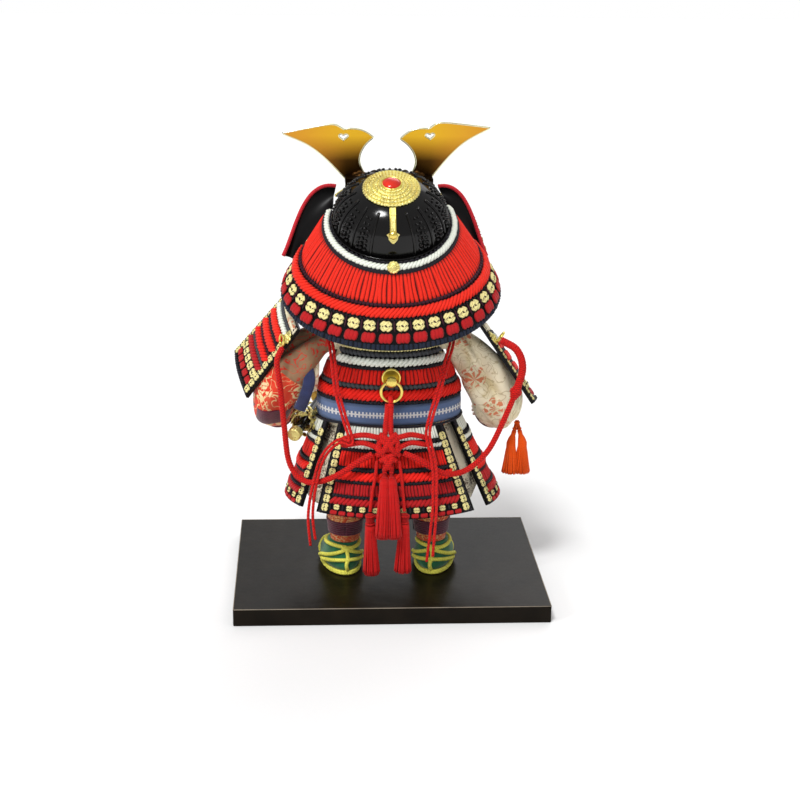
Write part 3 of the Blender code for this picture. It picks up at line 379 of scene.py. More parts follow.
@dataclass(frozen=True)
class Silk(Finish):
    """Silk thread: fine fibres along the piece, with painted shade in its grooves and under its strands."""

    # groove: the colour of the painted shade where relief is low, in grooves and under strands.
    groove: Colour = (40, 5, 8)
    lustre: float = 0.08

    def make(self, graph: Graph) -> bpy.types.Material:
        """Build fibre streaks over the painted shade in the grooves."""
        fibre = graph.noise(graph.place(True, (2.6, 0.3, 1.0)), 3.0, 4.0)
        tone = graph.ramp(fibre, [(0.3, rgba(self.colour, 0.78)), (0.52, rgba(self.colour)),
                                  (0.75, rgba(self.colour, 1.22))])
        # Painted shade: low relief turns the colour to the groove shade.
        colour = graph.mix(graph.mask(graph.relief(), 0.05, 0.75), rgba(self.groove), tone)
        return graph.finish(colour, 0.62, fibre, 0.00025, Sheen_Weight=self.lustre,
                            Sheen_Roughness=0.4, Specular_IOR_Level=0.22)


@dataclass(frozen=True)
class Lacquer(Finish):
    """Polished lacquer with a faint unevenness."""

    roughness: float = 0.14
    coat: float = 0.12
    shine: float = 0.26

    def make(self, graph: Graph) -> bpy.types.Material:
        """Build the slow waves of a brushed coat."""
        place = graph.place()
        slow = graph.noise(place, 55.0, 2.0)
        dust = graph.noise(place, 900.0, 2.0)
        colour = graph.ramp(slow, [(0.3, rgba(self.colour, 0.75)), (0.7, rgba(self.colour, 1.35))])
        rough = graph.mask(dust, 0.1, 0.9)
        level = graph.calc("MULTIPLY_ADD", rough, 0.12)
        level.node.inputs[2].default_value = self.roughness - 0.06
        return graph.finish(colour, level, slow, 0.0004, Coat_Weight=self.coat,
                            Coat_Roughness=0.06, Specular_IOR_Level=self.shine)


@dataclass(frozen=True)
class Gilt(Finish):
    """Gold plate, with chased grain where it is rough."""

    roughness: float = 0.28
    grain: float = 0.0
    # dark: the colour of the painted shade where relief is low; a CAD node, which has no relief, takes it all
    # over.
    dark: Colour = (150, 96, 24)

    def make(self, graph: Graph) -> bpy.types.Material:
        """Build a warm tone that varies, with painted shade in the hollows and fine chasing."""
        place = graph.place()
        tone = graph.noise(place, 120.0, 3.0)
        chase = graph.cells(place, 1100.0)
        base = graph.ramp(tone, [(0.25, rgba(self.colour, 0.8)), (0.7, rgba(self.colour, 1.1))])
        # Painted shade: the gold turns to the dark colour in hollows and under beads, where relief is low.
        colour = graph.mix(graph.mask(graph.relief(), 0.0, 0.6), rgba(self.dark), base)
        rough = graph.mask(tone, -1.2, 1.6)
        level = graph.times(rough, self.roughness * 2.0)
        return graph.finish(colour, level, chase, 0.00002 + 0.0004 * self.grain, Metallic=1.0)


@dataclass(frozen=True)
class HornGiltPaintedLight(Finish):
    """The horns' brushed gold, with painted shade darkening it to bronze toward the root and painted light
    toward the top.
    """

    # root: the bronze of the painted shade low on the blades.
    root: Colour = (74, 48, 16)
    low: float = 0.288
    high: float = 0.322

    def make(self, graph: Graph) -> bpy.types.Material:
        """Build a tone that rises from painted shade at the root to painted light at the top, with fine
        brushing.
        """
        place = graph.place()
        height = graph.mask(graph.parts(place)[2], self.low, self.high)
        wide = graph.calc("ABSOLUTE", graph.parts(place)[0])
        tip = graph.mask(wide, 0.03, 0.075)
        # Painted light and shade: dark bronze at the root rising to bright gold at the top.
        rise = graph.ramp(height, [(0.0, rgba(self.root, 0.55)), (0.4, rgba(self.root, 1.3)),
                                   (0.66, rgba((188, 136, 38))), (0.92, rgba(self.colour))])
        warm = graph.mix(graph.times(tip, 0.8), rise, rgba((216, 140, 56)))
        brush = graph.noise(graph.place(False, (1.0, 1.0, 0.04)), 2600.0, 2.0)
        return graph.finish(warm, 0.34, brush, 0.00003, Metallic=1.0)


@dataclass(frozen=True)
class Brocade(Finish):
    """Woven silk with a scattered leaf and scroll figure of no maker's own."""

    figure: Colour = (220, 190, 150)
    second: Colour = (120, 110, 60)
    bold: float = 0.5
    size: float = 60.0
    line: Colour = (230, 206, 150)
    leaves: float = 7.0
    fill: float = 0.4

    def make(self, graph: Graph) -> bpy.types.Material:
        """Build round leaf sprays and thin scrolls over a fine weave."""
        place = graph.place()
        weave = graph.times(graph.wave(place, 900.0, "X", 0.6), graph.wave(place, 900.0, "Z", 0.6))
        cell = graph.node("ShaderNodeTexVoronoi", feature="F1")
        graph.feed(cell.inputs["Vector"], place)
        cell.inputs["Scale"].default_value = self.size
        cell.inputs["Randomness"].default_value = 0.75
        away = graph.node("ShaderNodeVectorMath", operation="SUBTRACT")
        graph.feed(away.inputs[0], place)
        graph.feed(away.inputs[1], cell.outputs["Position"])
        x, _, z = graph.parts(away.outputs[0])
        turn = graph.calc("ARCTAN2", z, x)
        far = cell.outputs["Distance"]
        sway = graph.times(graph.noise(place, self.size * 5.0, 2.0), 7.0)
        bent = graph.calc("ADD", graph.times(turn, self.leaves), sway)
        leaf = graph.mask(graph.calc("SINE", bent), -0.35, 0.0)
        ripple = graph.calc("ADD", graph.times(far, 38.0), sway)
        vein = graph.mask(graph.calc("SINE", ripple), -0.9, -0.5)
        spray = graph.times(graph.times(leaf, vein), graph.mask(far, self.fill, self.fill - 0.05))
        curl = graph.noise(place, self.size * 1.5, 1.0, 2.2)
        ring = graph.calc("ABSOLUTE", graph.calc("SUBTRACT", curl, 0.5))
        vine = graph.times(graph.mask(ring, 0.03, 0.016), self.bold)
        blotch = graph.mask(graph.noise(place, self.size * 2.2, 3.0), 0.5, 0.62)
        ground = graph.mix(graph.times(graph.noise(place, 300.0, 2.0), 0.4),
                           rgba(self.colour), rgba(self.colour, 0.78))
        shaded = graph.mix(graph.times(blotch, 0.34), ground, rgba(self.second))
        vines = graph.mix(vine, shaded, rgba(self.line))
        colour = graph.mix(spray, vines, rgba(self.figure))
        height = graph.calc("ADD", graph.times(weave, 0.5), spray)
        return graph.finish(colour, 0.72, height, 0.00018, Sheen_Weight=0.1, Specular_IOR_Level=0.25)


@dataclass(frozen=True)
class Stipple(Finish):
    """Cream cloth stippled with soft brown."""

    speck: Colour = (92, 66, 52)

    def make(self, graph: Graph) -> bpy.types.Material:
        """Build clustered brown specks on a ribbed weave."""
        place = graph.place()
        speck = graph.noise(place, 900.0, 2.0)
        patch = graph.noise(place, 75.0, 2.0)
        amount = graph.times(graph.mask(speck, 0.46, 0.56), graph.mask(patch, 0.36, 0.52))
        colour = graph.mix(amount, rgba(self.colour), rgba(self.speck))
        rib = graph.wave(place, 700.0, "Z", 0.5)
        return graph.finish(colour, 0.78, rib, 0.00015, Sheen_Weight=0.2)


@dataclass(frozen=True)
class Felt(Finish):
    """Soft felt or wool with short fibres."""

    def make(self, graph: Graph) -> bpy.types.Material:
        """Build a mottled nap."""
        place = graph.place()
        nap = graph.noise(place, 1400.0, 4.0)
        tone = graph.noise(place, 160.0, 3.0)
        colour = graph.ramp(tone, [(0.3, rgba(self.colour, 0.7)), (0.7, rgba(self.colour, 1.3))])
        return graph.finish(colour, 0.85, nap, 0.0003, Sheen_Weight=0.4)


@dataclass(frozen=True)
class Ladder(Finish):
    """The belt's ribbed weave with a white ladder line along its middle."""

    line: Colour = (250, 250, 250)

    def make(self, graph: Graph) -> bpy.types.Material:
        """Build the ribs, with painted shade in their troughs, and the ladder from the belt's own UV map, in
        millimetres.
        """
        place = graph.place(True)
        along, height, _ = graph.parts(place)
        middle = graph.calc("ABSOLUTE", height)
        rung = graph.calc("SINE", graph.times(along, 2.0 * math.pi / 2.9))
        spar = graph.mask(middle, 0.6, 0.5)
        ladder = graph.times(graph.mask(rung, -0.05, 0.1), graph.mask(middle, 2.2, 2.0))
        white = graph.calc("MAXIMUM", spar, ladder)
        rib = graph.calc("SINE", graph.times(along, 2.0 * math.pi / 0.7))
        tone = graph.ramp(graph.noise(place, 2.0, 3.0), [(0.3, rgba(self.colour, 0.82)),
                                                         (0.7, rgba(self.colour, 1.15))])
        highlight_edge = graph.mask(middle, 6.2, 5.2)
        dark = graph.mix(highlight_edge, rgba(self.colour, 0.55), tone)
        # Painted shade: the colour darkens in the troughs of the ribs, where the rib wave is low.
        ribbed = graph.mix(graph.times(graph.mask(rib, 0.2, -0.9), 0.35), dark,
                           rgba(self.colour, 0.5))
        colour = graph.mix(white, ribbed, rgba(self.line))
        return graph.finish(colour, 0.7, rib, 0.0003, Sheen_Weight=0.2)


@dataclass(frozen=True)
class Shell(Finish):
    """The matt shell-white of the head and hands, faintly warm in places."""

    blush: Colour = (232, 180, 160)

    def make(self, graph: Graph) -> bpy.types.Material:
        """Build a soft blush on a very fine grain."""
        place = graph.place()
        warm = graph.mask(graph.noise(place, 45.0, 2.0), 0.45, 0.85)
        colour = graph.mix(graph.times(warm, 0.35), rgba(self.colour), rgba(self.blush))
        return graph.finish(colour, 0.42, graph.noise(place, 1800.0, 2.0), 0.00002,
                            Subsurface_Weight=0.05)


@dataclass(frozen=True)
class Stone(Finish):
    """A polished stone or a drop of paint."""

    def make(self, graph: Graph) -> bpy.types.Material:
        """Build slow clouds of a darker and a brighter tone."""
        tone = graph.noise(graph.place(), 160.0, 2.0)
        colour = graph.ramp(tone, [(0.3, rgba(self.colour, 0.7)), (0.7, rgba(self.colour, 1.15))])
        return graph.finish(colour, 0.16, tone, 0.0001, Coat_Weight=0.2, Coat_Roughness=0.03)


# The second colour of each silk is the painted shade in its grooves and under its strands.
RED = Silk("bright red silk", "red_lacing", (240, 42, 22), (104, 6, 3))
RED_LOW = Silk("deep red silk", "red_lacing", (234, 30, 16), (92, 4, 4))
CRIMSON = Silk("crimson silk", "red_lacing", (180, 22, 26), (58, 4, 8))
CORD_RED = Silk("red cord silk", "red_cord", (222, 24, 18), (96, 4, 5))
TASSEL_RED = Silk("red tassel silk", "red_cord", (200, 18, 16), (88, 4, 4))
WHITE = Silk("white silk", "white_braid", (240, 244, 230), (112, 122, 118))
GREY = Silk("grey braid silk", "dark_cord", (72, 74, 78), (24, 24, 26))
BLACK = Silk("black braid silk", "dark_cord", (30, 27, 36), (5, 4, 6), lustre=0.1)
PLUM = Silk("plum braid silk", "dark_cord", (58, 16, 34), (10, 4, 9), lustre=0.1)
NAVY = Silk("navy silk", "dark_cord", (26, 34, 52), (4, 5, 8), lustre=0.1)
CREAM = Silk("cream gold silk", "white_braid", (246, 232, 160), (120, 100, 44))
STRAW = Silk("plaited straw cord", "straw", (246, 240, 100), (150, 140, 36))
ORANGE = Silk("orange tassel silk", "orange_silk", (250, 92, 12), (160, 44, 4))
MAROON = Felt("maroon cloth", "red_brocade", (88, 20, 44))
NAVY_CLOTH = Felt("navy cloth", "dark_cord", (30, 40, 84))
HAIR = Silk("black hair silk", "hair", (30, 26, 26), (4, 4, 4))
BLACK_LACQUER = Lacquer("black armour lacquer", "armour_lacquer", (9, 8, 8))
PLATE_LACQUER = Lacquer("black plate lacquer", "armour_lacquer", (11, 10, 11),
                        roughness=0.36, coat=0.0, shine=0.16)
BOARD_LACQUER = Lacquer("black board lacquer", "board_lacquer", (21, 16, 10),
                        roughness=0.34, coat=0.0, shine=0.08)
# Painted highlight: a pale lacquer for the lit bevel along the board's upper edges.
EDGE_HIGHLIGHT_LACQUER = Lacquer("thin edge lacquer", "board_lacquer", (128, 118, 104),
                       roughness=0.4, coat=0.0, shine=0.3)
# The dark colour of each gilt is the painted shade in its hollows.
GOLD = Gilt("bright gilt", "gold", (255, 226, 118), roughness=0.24)
CHASED = Gilt("chased gilt", "gold", (255, 236, 150), roughness=0.36, grain=0.8)
OLD_GOLD = Gilt("old gilt", "gold", (226, 190, 92), roughness=0.34, grain=0.6, dark=(96, 66, 22))
# Painted highlight: pale gilt for the lit edges of the horn blades.
HIGHLIGHT_GILT = Gilt("pale gilt edge", "gold", (255, 246, 204), roughness=0.2)
RIM_SILK = Silk("rose rim silk", "red_lacing", (204, 40, 52), (90, 10, 24))
# The horns' gold carries painted light above and painted shade toward the root.
HORN_PAINTED_LIGHT = HornGiltPaintedLight("horn gilt", "gold", (236, 184, 48))
BRONZE = Gilt("dark bronze plate", "dark_bronze", (86, 58, 30), roughness=0.4, grain=0.3, dark=(30, 18, 8))
RED_STONE = Stone("red stone", "red_stone", (216, 38, 10))
SKIN = Shell("shell white", "skin", (246, 232, 216))
LIP = Stone("painted lip", "skin", (176, 44, 44))
EYE = Stone("painted eye", "hair", (18, 14, 14))
GREEN = Felt("green boot felt", "green_boot", (16, 104, 66))
PAPER = Felt("pad paper", "pad_paper", (222, 214, 196))
BELT = Ladder("blue ladder weave", "blue_belt", (92, 126, 182))
TROUSER = Stipple("stippled cream cloth", "cream_brocade", (240, 228, 200))
RED_BROCADE = Brocade("red brocade", "red_brocade", (232, 62, 36), figure=(250, 222, 168),
                      second=(222, 120, 82), bold=1.0, size=52.0, line=(238, 208, 150), leaves=3.0, fill=0.34)
CREAM_BROCADE = Brocade("cream brocade", "cream_brocade", (255, 244, 212), figure=(226, 138, 98),
                        second=(212, 192, 128), bold=0.55, size=46.0, line=(186, 164, 104), leaves=7.0,
                        fill=0.44)
ORANGE_BROCADE = Brocade("orange brocade", "orange_brocade", (214, 84, 42), figure=(240, 186, 110),
                         second=(160, 50, 30), bold=0.8, size=100.0)
NET = Brocade("red net over grey", "red_brocade", (158, 124, 92), figure=(206, 60, 42), second=(118, 86, 62),
              bold=1.0, size=58.0, line=(206, 48, 34), leaves=5.0, fill=0.2)


# ---------------------------------------------------------------- meshes

def placed(name: str, data: bpy.types.ID) -> bpy.types.Object:
    """Make an object of its data and link it to the scene."""
    made = bpy.data.objects.new(name, data)
    bpy.context.scene.collection.objects.link(made)
    return made


def worked_out(made: bpy.types.Object) -> bpy.types.Mesh:
    """Read an object's mesh with its modifiers or its curve worked out."""
    bpy.context.view_layer.update()
    return bpy.data.meshes.new_from_object(made.evaluated_get(bpy.context.evaluated_depsgraph_get()))


def close_up(data: bpy.types.Mesh, distance: float) -> None:
    """Join the points of a mesh that meet, and turn all its faces outward."""
    mesh = bmesh.new()
    mesh.from_mesh(data)
    bmesh.ops.remove_doubles(mesh, verts=mesh.verts, dist=distance)
    bmesh.ops.recalc_face_normals(mesh, faces=mesh.faces)
    mesh.to_mesh(data)
    mesh.free()


class Shape:
    """Collects the points, faces, UVs and relief of one mesh."""

    def __init__(self) -> None:
        """Start empty."""
        self.points: list[Vector] = []
        self.relief: list[float] = []
        self.faces: list[tuple[int, ...]] = []
        self.uvs: list[tuple[tuple[float, float], ...]] = []

    def grid(self, rows: Sequence[Sequence[Vector]], relief: Sequence[Sequence[float]] | None = None,
             closed: bool = False, caps: bool = False, out: Vector | None = None) -> None:
        """Add a sheet of faces through rows of points.

        Args:
            rows: rows of equal length.
            relief: how far each point stands out of its grooves, 1 where none is given.
            closed: whether each row joins its own start.
            caps: whether the first and last rows are filled.
            out: a direction that the first face looks to, where the sheet is open.
        """
        start = len(self.points)
        wide = len(rows[0])
        for index, row in enumerate(rows):
            self.points += row
            self.relief += list(relief[index]) if relief else [1.0] * wide
        middle = rows[len(rows) // 2]
        crosswise = distances(list(middle) + ([middle[0]] if closed else []))
        lengthwise = distances([row[0] for row in rows])
        flip = False
        if out is not None:
            face = (rows[0][1] - rows[0][0]).cross(rows[1][0] - rows[0][0])
            flip = face.dot(out) < 0.0
        for low in range(len(rows) - 1):
            for step in range(wide if closed else wide - 1):
                after = (step + 1) % wide
                corners = [start + low * wide + step, start + low * wide + after,
                           start + (low + 1) * wide + after, start + (low + 1) * wide + step]
                places = [(crosswise[step], lengthwise[low]), (crosswise[step + 1], lengthwise[low]),
                          (crosswise[step + 1], lengthwise[low + 1]), (crosswise[step], lengthwise[low + 1])]
                if flip:
                    corners.reverse()
                    places.reverse()
                self.faces.append(tuple(corners))
                self.uvs.append(tuple(places))
        if caps:
            for low in (0, len(rows) - 1):
                centre = sum((Vector(point) for point in rows[low]), Vector()) / wide
                self.points.append(centre)
                self.relief.append(1.0)
                hub = len(self.points) - 1
                for step in range(wide):
                    after = (step + 1) % wide
                    corners = (start + low * wide + step, start + low * wide + after, hub)
                    self.faces.append(corners if low else corners[::-1])
                    self.uvs.append(((0.0, 0.0), (1.0, 0.0), (0.5, 1.0)))

    def tube(self, path: Sequence[Vector], radius: float | Sequence[float], sides: int = 10,
             lobes: int = 0, pitch: float = 6.0, depth: float = 0.14, flat: float = 1.0,
             side: Vector = UP, plaited: bool = False) -> None:
        """Add a round cord along a path, with twisted or plaited strands on it.

        Args:
            path: the points to follow.
            radius: one radius, or one for each point.
            sides: points round the cord.
            lobes: strands round the cord, 0 for a plain one.
            pitch: the length of one full turn of a strand.
            depth: groove depth as a share of the radius.
            flat: the second half size as a share of the first.
            side: a direction that the first cross direction keeps near to.
            plaited: whether strands run both ways round.
        """
        radii = [radius] * len(path) if isinstance(radius, float) else list(radius)
        rows = []
        relief = []
        travelled = 0.0
        before = path[0]
        for point, (_, first, second), size in zip(path, frames_along(path, side), radii):
            travelled += (point - before).length
            before = point
            row = []
            level = []
            for angle in turn_angles(sides):
                # height is also the relief: low in the grooves between strands, where the finish paints
                # shade.
                height = 1.0
                if lobes:
                    turn = 2.0 * math.pi * travelled / pitch
                    one = math.sin(0.5 * lobes * (angle - turn))
                    two = math.sin(0.5 * lobes * (angle + turn)) if plaited else 1.0
                    height = math.sqrt(abs(one) * abs(two))
                reach = size * (1.0 - depth * (1.0 - height))
                row.append(point + first * reach * math.cos(angle)
                           + second * reach * flat * math.sin(angle))
                level.append(height)
            rows.append(row)
            relief.append(level)
        self.grid(rows, relief, closed=True, caps=True)

    def join(self, other: "Shape") -> None:
        """Take in another shape."""
        base = len(self.points)
        self.points += other.points
        self.relief += other.relief
        self.faces += [tuple(corner + base for corner in face) for face in other.faces]
        self.uvs += other.uvs

    def make(self, name: str, finish: Finish, solid: bool = True) -> bpy.types.Object:
        """Turn what was collected into an object in metres.

        Args:
            name: the object's name.
            finish: what it is covered with.
            solid: whether the mesh is closed, so that its normals can be found.

        Returns:
            The new object, linked to the scene.
        """
        data = bpy.data.meshes.new(name)
        data.from_pydata([point * MM for point in self.points], [], self.faces)
        layer = data.uv_layers.new(name="UVMap")
        for polygon, places in zip(data.polygons, self.uvs):
            for loop, place in zip(polygon.loop_indices, places):
                layer.data[loop].uv = place
        attribute = data.attributes.new("relief", "FLOAT", "POINT")
        attribute.data.foreach_set("value", self.relief)
        if solid:
            close_up(data, 2e-7)
        data.shade_smooth()
        data.materials.append(finish.material())
        return placed(name, data)

    def piece(self, name: str, finish: Finish, nodes: Sequence[str] = (), solid: bool = True,
              sharp: float = 0.0) -> bpy.types.Object:
        """Turn what was collected into a piece of the doll.

        Args:
            name: the piece's name.
            finish: what it is covered with.
            nodes: CAD nodes that it stands for.
            solid: whether the mesh is closed.
            sharp: the angle in degrees past which an edge stays sharp, 0 for none.

        Returns:
            The piece, riding on the doll.
        """
        made = self.make(name, finish, solid)
        if sharp:
            made.data.set_sharp_from_angle(angle=math.radians(sharp))
        return seat(made, nodes)


def seat(made: bpy.types.Object, nodes: Sequence[str] = ()) -> bpy.types.Object:
    """Let a piece ride on the doll, and hide the CAD nodes that it stands for."""
    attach(made, "root")
    if nodes:
        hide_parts(*nodes)
    return made


def corded(name: str, finish: Finish, paths: Iterable[Sequence[Vector]], radius: float, *form: float,
           nodes: Sequence[str] = (), **more: object) -> bpy.types.Object:
    """Make one piece of round cords or wires.

    Args:
        name: the piece's name.
        finish: what it is covered with.
        paths: the points that each cord follows.
        radius: the cords' radius.
        *form: sides, lobes, pitch and depth, as Shape.tube takes them.
        nodes: CAD nodes that it stands for.
        **more: further settings of Shape.tube, by name.

    Returns:
        The piece.
    """
    shape = Shape()
    for path in paths:
        shape.tube(path, radius, *form, **more)
    return shape.piece(name, finish, nodes)


def slab(surface: Surface, acrosses: Sequence[float], alongs: Sequence[float], low: float,
         high: float, lift: Callable[[float, float], float] | None = None) -> Shape:
    """Make a closed plate on a surface.

    Args:
        surface: gives a point for (across, along).
        acrosses: columns.
        alongs: rows.
        low: how far its inner face lies from the surface, along the normal.
        high: how far its outer face lies from the surface.
        lift: extra height of the outer face at (across, along).

    Returns:
        The plate's shape.
    """
    rows = []
    for along in alongs:
        outer = []
        inner = []
        for across in acrosses:
            point = surface(across, along)
            normal = surface_normal(surface, across, along)
            extra = lift(across, along) if lift else 0.0
            outer.append(point + normal * (high + extra))
            inner.append(point + normal * low)
        rows.append(outer + inner[::-1])
    shape = Shape()
    shape.grid(rows, closed=True, caps=False)
    wide = len(acrosses)
    for row in (0, len(rows) - 1):
        for step in range(wide - 1):
            base = row * wide * 2
            shape.faces.append((base + step, base + step + 1,
                                base + 2 * wide - 2 - step, base + 2 * wide - 1 - step))
            shape.uvs.append(((0.0, 0.0), (1.0, 0.0), (1.0, 1.0), (0.0, 1.0)))
    return shape


def turned(profile: Sequence[tuple[float, float]], place: Matrix, count: int = 48,
           petals: int = 0, depth: float = 0.0) -> Shape:
    """Make a turned shape, with scallops where it has petals.

    Args:
        profile: (radius, height) from the bottom centre to the top centre.
        place: where its own frame stands, in millimetres.
        count: points round it.
        petals: how many scallops run round it.
        depth: scallop depth as a share of the radius.

    Returns:
        The shape.
    """
    rows = []
    relief = []
    for radius, height in profile:
        row = []
        level = []
        for angle in turn_angles(count):
            wave = abs(math.cos(petals * angle / 2.0)) if petals else 1.0
            reach = max(radius, 1e-4) * (1.0 - depth * (1.0 - wave))
            row.append(place @ Vector((reach * math.sin(angle), reach * math.cos(angle), height)))
            # Relief is low in the scallops' troughs, where the finish paints shade.
            level.append(0.35 + 0.65 * wave)
        rows.append(row)
        relief.append(level)
    shape = Shape()
    shape.grid(rows, relief, closed=True)
    return shape


def swept(stations: Sequence[tuple], sides: int = 24, rings: int = 20,
          fold: Callable[[float, float], float] | None = None,
          part_of: tuple[float, float] = (0.0, 1.0), lift: float = 0.0) -> Shape:
    """Make a closed body through smooth stations.

    Args:
        stations: (centre, way, half size one, half size two) rows.
        sides: points round the body.
        rings: rings along it.
        fold: extra radius in millimetres at (angle, share along).
        part_of: the shares between which the body is made.
        lift: how far it stands off the full body, in millimetres.

    Returns:
        The shape.
    """
    numbers = [(*centre, *Vector(way).normalized(), one, two) for centre, way, one, two in stations]
    last = len(numbers) - 1
    rows = []
    first = BACK
    for ring in range(rings + 1):
        place = part_of[0] + (part_of[1] - part_of[0]) * ring / rings
        share = last * place
        index = min(int(share), last - 1)
        part = share - index
        around = [numbers[max(0, min(last, index + shift))] for shift in (-1, 0, 1, 2)]
        read = []
        for before, start, end, after in zip(*around):
            read.append(0.5 * (2.0 * start + (end - before) * part
                               + (2.0 * before - 5.0 * start + 4.0 * end - after) * part ** 2
                               + (3.0 * start - before - 3.0 * end + after) * part ** 3))
        centre = Vector(read[0:3])
        way = Vector(read[3:6]).normalized()
        first = (first - way * first.dot(way)).normalized()
        second = way.cross(first)
        row = []
        for angle in turn_angles(sides):
            extra = lift + (fold(angle, place) if fold else 0.0)
            row.append(centre + first * (read[6] + extra) * math.cos(angle)
                       + second * (read[7] + extra) * math.sin(angle))
        rows.append(row)
    shape = Shape()
    shape.grid(rows, closed=True, caps=True)
    return shape


# ---------------------------------------------------------------- strands of silk

class StrandTree:
    """The geometry tree that lays one silk strand on every given point."""

    name = "lay strands"

    @classmethod
    def get(cls) -> bpy.types.NodeTree:
        """Find the tree, or build it once."""
        found = bpy.data.node_groups.get(cls.name)
        if found:
            return found
        tree = bpy.data.node_groups.new(cls.name, "GeometryNodeTree")
        tree.is_modifier = True
        for label, kind in (("Geometry", "NodeSocketGeometry"), ("Strand", "NodeSocketObject"),
                            ("Finish", "NodeSocketMaterial"), ("Least size", "NodeSocketFloat"),
                            ("Largest size", "NodeSocketFloat"), ("Seed", "NodeSocketInt")):
            tree.interface.new_socket(label, in_out="INPUT", socket_type=kind)
        tree.interface.new_socket("Geometry", in_out="OUTPUT", socket_type="NodeSocketGeometry")
        nodes = tree.nodes
        link = tree.links.new
        given = nodes.new("NodeGroupInput")
        result = nodes.new("NodeGroupOutput")
        shape = nodes.new("GeometryNodeObjectInfo")
        link(given.outputs["Strand"], shape.inputs["Object"])
        read = {}
        for label in ("facing", "run", "size"):
            made = nodes.new("GeometryNodeInputNamedAttribute")
            made.data_type = "FLOAT_VECTOR"
            made.inputs["Name"].default_value = label
            read[label] = made.outputs["Attribute"]
        stand = nodes.new("FunctionNodeAlignRotationToVector")
        stand.axis = "Z"
        link(read["facing"], stand.inputs["Vector"])
        turn = nodes.new("FunctionNodeAlignRotationToVector")
        turn.axis = "X"
        turn.pivot_axis = "Z"
        link(stand.outputs[0], turn.inputs["Rotation"])
        link(read["run"], turn.inputs["Vector"])
        chance = nodes.new("FunctionNodeRandomValue")
        chance.data_type = "FLOAT"
        link(given.outputs["Least size"], chance.inputs[2])
        link(given.outputs["Largest size"], chance.inputs[3])
        link(given.outputs["Seed"], chance.inputs["Seed"])
        grow = nodes.new("ShaderNodeVectorMath")
        grow.operation = "SCALE"
        link(read["size"], grow.inputs[0])
        link(chance.outputs[1], grow.inputs["Scale"])
        lay = nodes.new("GeometryNodeInstanceOnPoints")
        link(given.outputs["Geometry"], lay.inputs["Points"])
        link(shape.outputs["Geometry"], lay.inputs["Instance"])
        link(turn.outputs[0], lay.inputs["Rotation"])
        link(grow.outputs[0], lay.inputs["Scale"])
        real = nodes.new("GeometryNodeRealizeInstances")
        link(lay.outputs[0], real.inputs[0])
        cover = nodes.new("GeometryNodeSetMaterial")
        link(real.outputs[0], cover.inputs["Geometry"])
        link(given.outputs["Finish"], cover.inputs["Material"])
        link(cover.outputs[0], result.inputs[0])
        return tree


@dataclass
class Strands:
    """Short silk strands, knots and beads of one finish that are laid on points."""

    name: str
    finish: Finish
    bead: bool = False
    spread: float = 0.06
    places: list[tuple[Vector, Vector, Vector, Vector]] = field(default_factory=list)

    def add(self, centre: Vector, facing: Vector, run: Vector, length: float, width: float,
            height: float) -> None:
        """Lay one strand of the given full length, width and height."""
        self.places.append((centre, facing, run, Vector((length, width, height))))

    def strand(self) -> bpy.types.Object:
        """Make the strand that is laid: a spindle 1 long, wide and high."""
        angles = turn_angles(6)
        table = (((0.0, 0.42), (0.2, 0.9), (0.5, 1.0), (0.8, 0.9), (1.0, 0.42)) if not self.bead
                 else ((0.0, 0.1), (0.18, 0.75), (0.5, 1.0), (0.82, 0.75), (1.0, 0.1)))
        rows = []
        relief = []
        for share, size in table:
            rows.append([Vector((share - 0.5, 0.5 * size * math.cos(angle), 0.5 * size * math.sin(angle)))
                         for angle in angles])
            # Relief is low on the strand's underside and at its ends, where the finish paints shade under it.
            relief.append([min(1.0, max(0.0, 0.45 + 0.75 * math.sin(angle)))
                           * (1.0 if 0.1 < share < 0.9 else 0.45) for angle in angles])
        shape = Shape()
        shape.grid(rows, relief, closed=True, caps=True)
        made = shape.make(self.name + "_strand", self.finish)
        made.data.transform(Matrix.Scale(1.0 / MM, 4))
        for loop in made.data.uv_layers[0].data:
            loop.uv = (loop.uv[0] * 2.0, loop.uv[1] * 3.0)
        return made

    def build(self, nodes: Sequence[str] = ()) -> bpy.types.Object | None:
        """Lay every strand and give the finished piece."""
        if not self.places:
            return None
        data = bpy.data.meshes.new(self.name)
        data.from_pydata([place[0] * MM for place in self.places], [], [])
        for index, label in ((1, "facing"), (2, "run"), (3, "size")):
            attribute = data.attributes.new(label, "FLOAT_VECTOR", "POINT")
            gain = MM if label == "size" else 1.0
            attribute.data.foreach_set("vector", [value * gain for place in self.places
                                                  for value in place[index]])
        made = placed(self.name, data)
        strand = self.strand()
        tree = StrandTree.get()
        modifier = made.modifiers.new("strands", "NODES")
        modifier.node_group = tree
        values = {"Strand": strand, "Finish": self.finish.material(), "Least size": 1.0 - self.spread,
                  "Largest size": 1.0 + self.spread, "Seed": 7}
        for item in tree.interface.items_tree:
            if item.in_out == "INPUT" and item.name in values:
                modifier[item.identifier] = values[item.name]
        mesh = worked_out(made)
        made.modifiers.clear()
        made.data = mesh
        bpy.data.objects.remove(strand, do_unlink=True)
        for label in ("facing", "run", "size"):
            if label in mesh.attributes:
                mesh.attributes.remove(mesh.attributes[label])
        return seat(made, nodes)


class RowKind(Enum):
    """The ways in which a row of silk is worked."""

    CORDS = "long cords side by side"
    TWIST = "one thick twisted rope"
    KNOTS = "cross knots with dark hearts"
    PADS = "short knots side by side"
    BEADS = "round beads"


@dataclass(frozen=True)
class Row:
    """One row of silk on a plate: its kind, where it starts and ends along it, and its pitch."""

    kind: RowKind
    start: float
    end: float
    finish: Finish
    pitch: float = 2.4
    height: float = 1.2
    lean: float = 1.0
    second: Finish | None = None


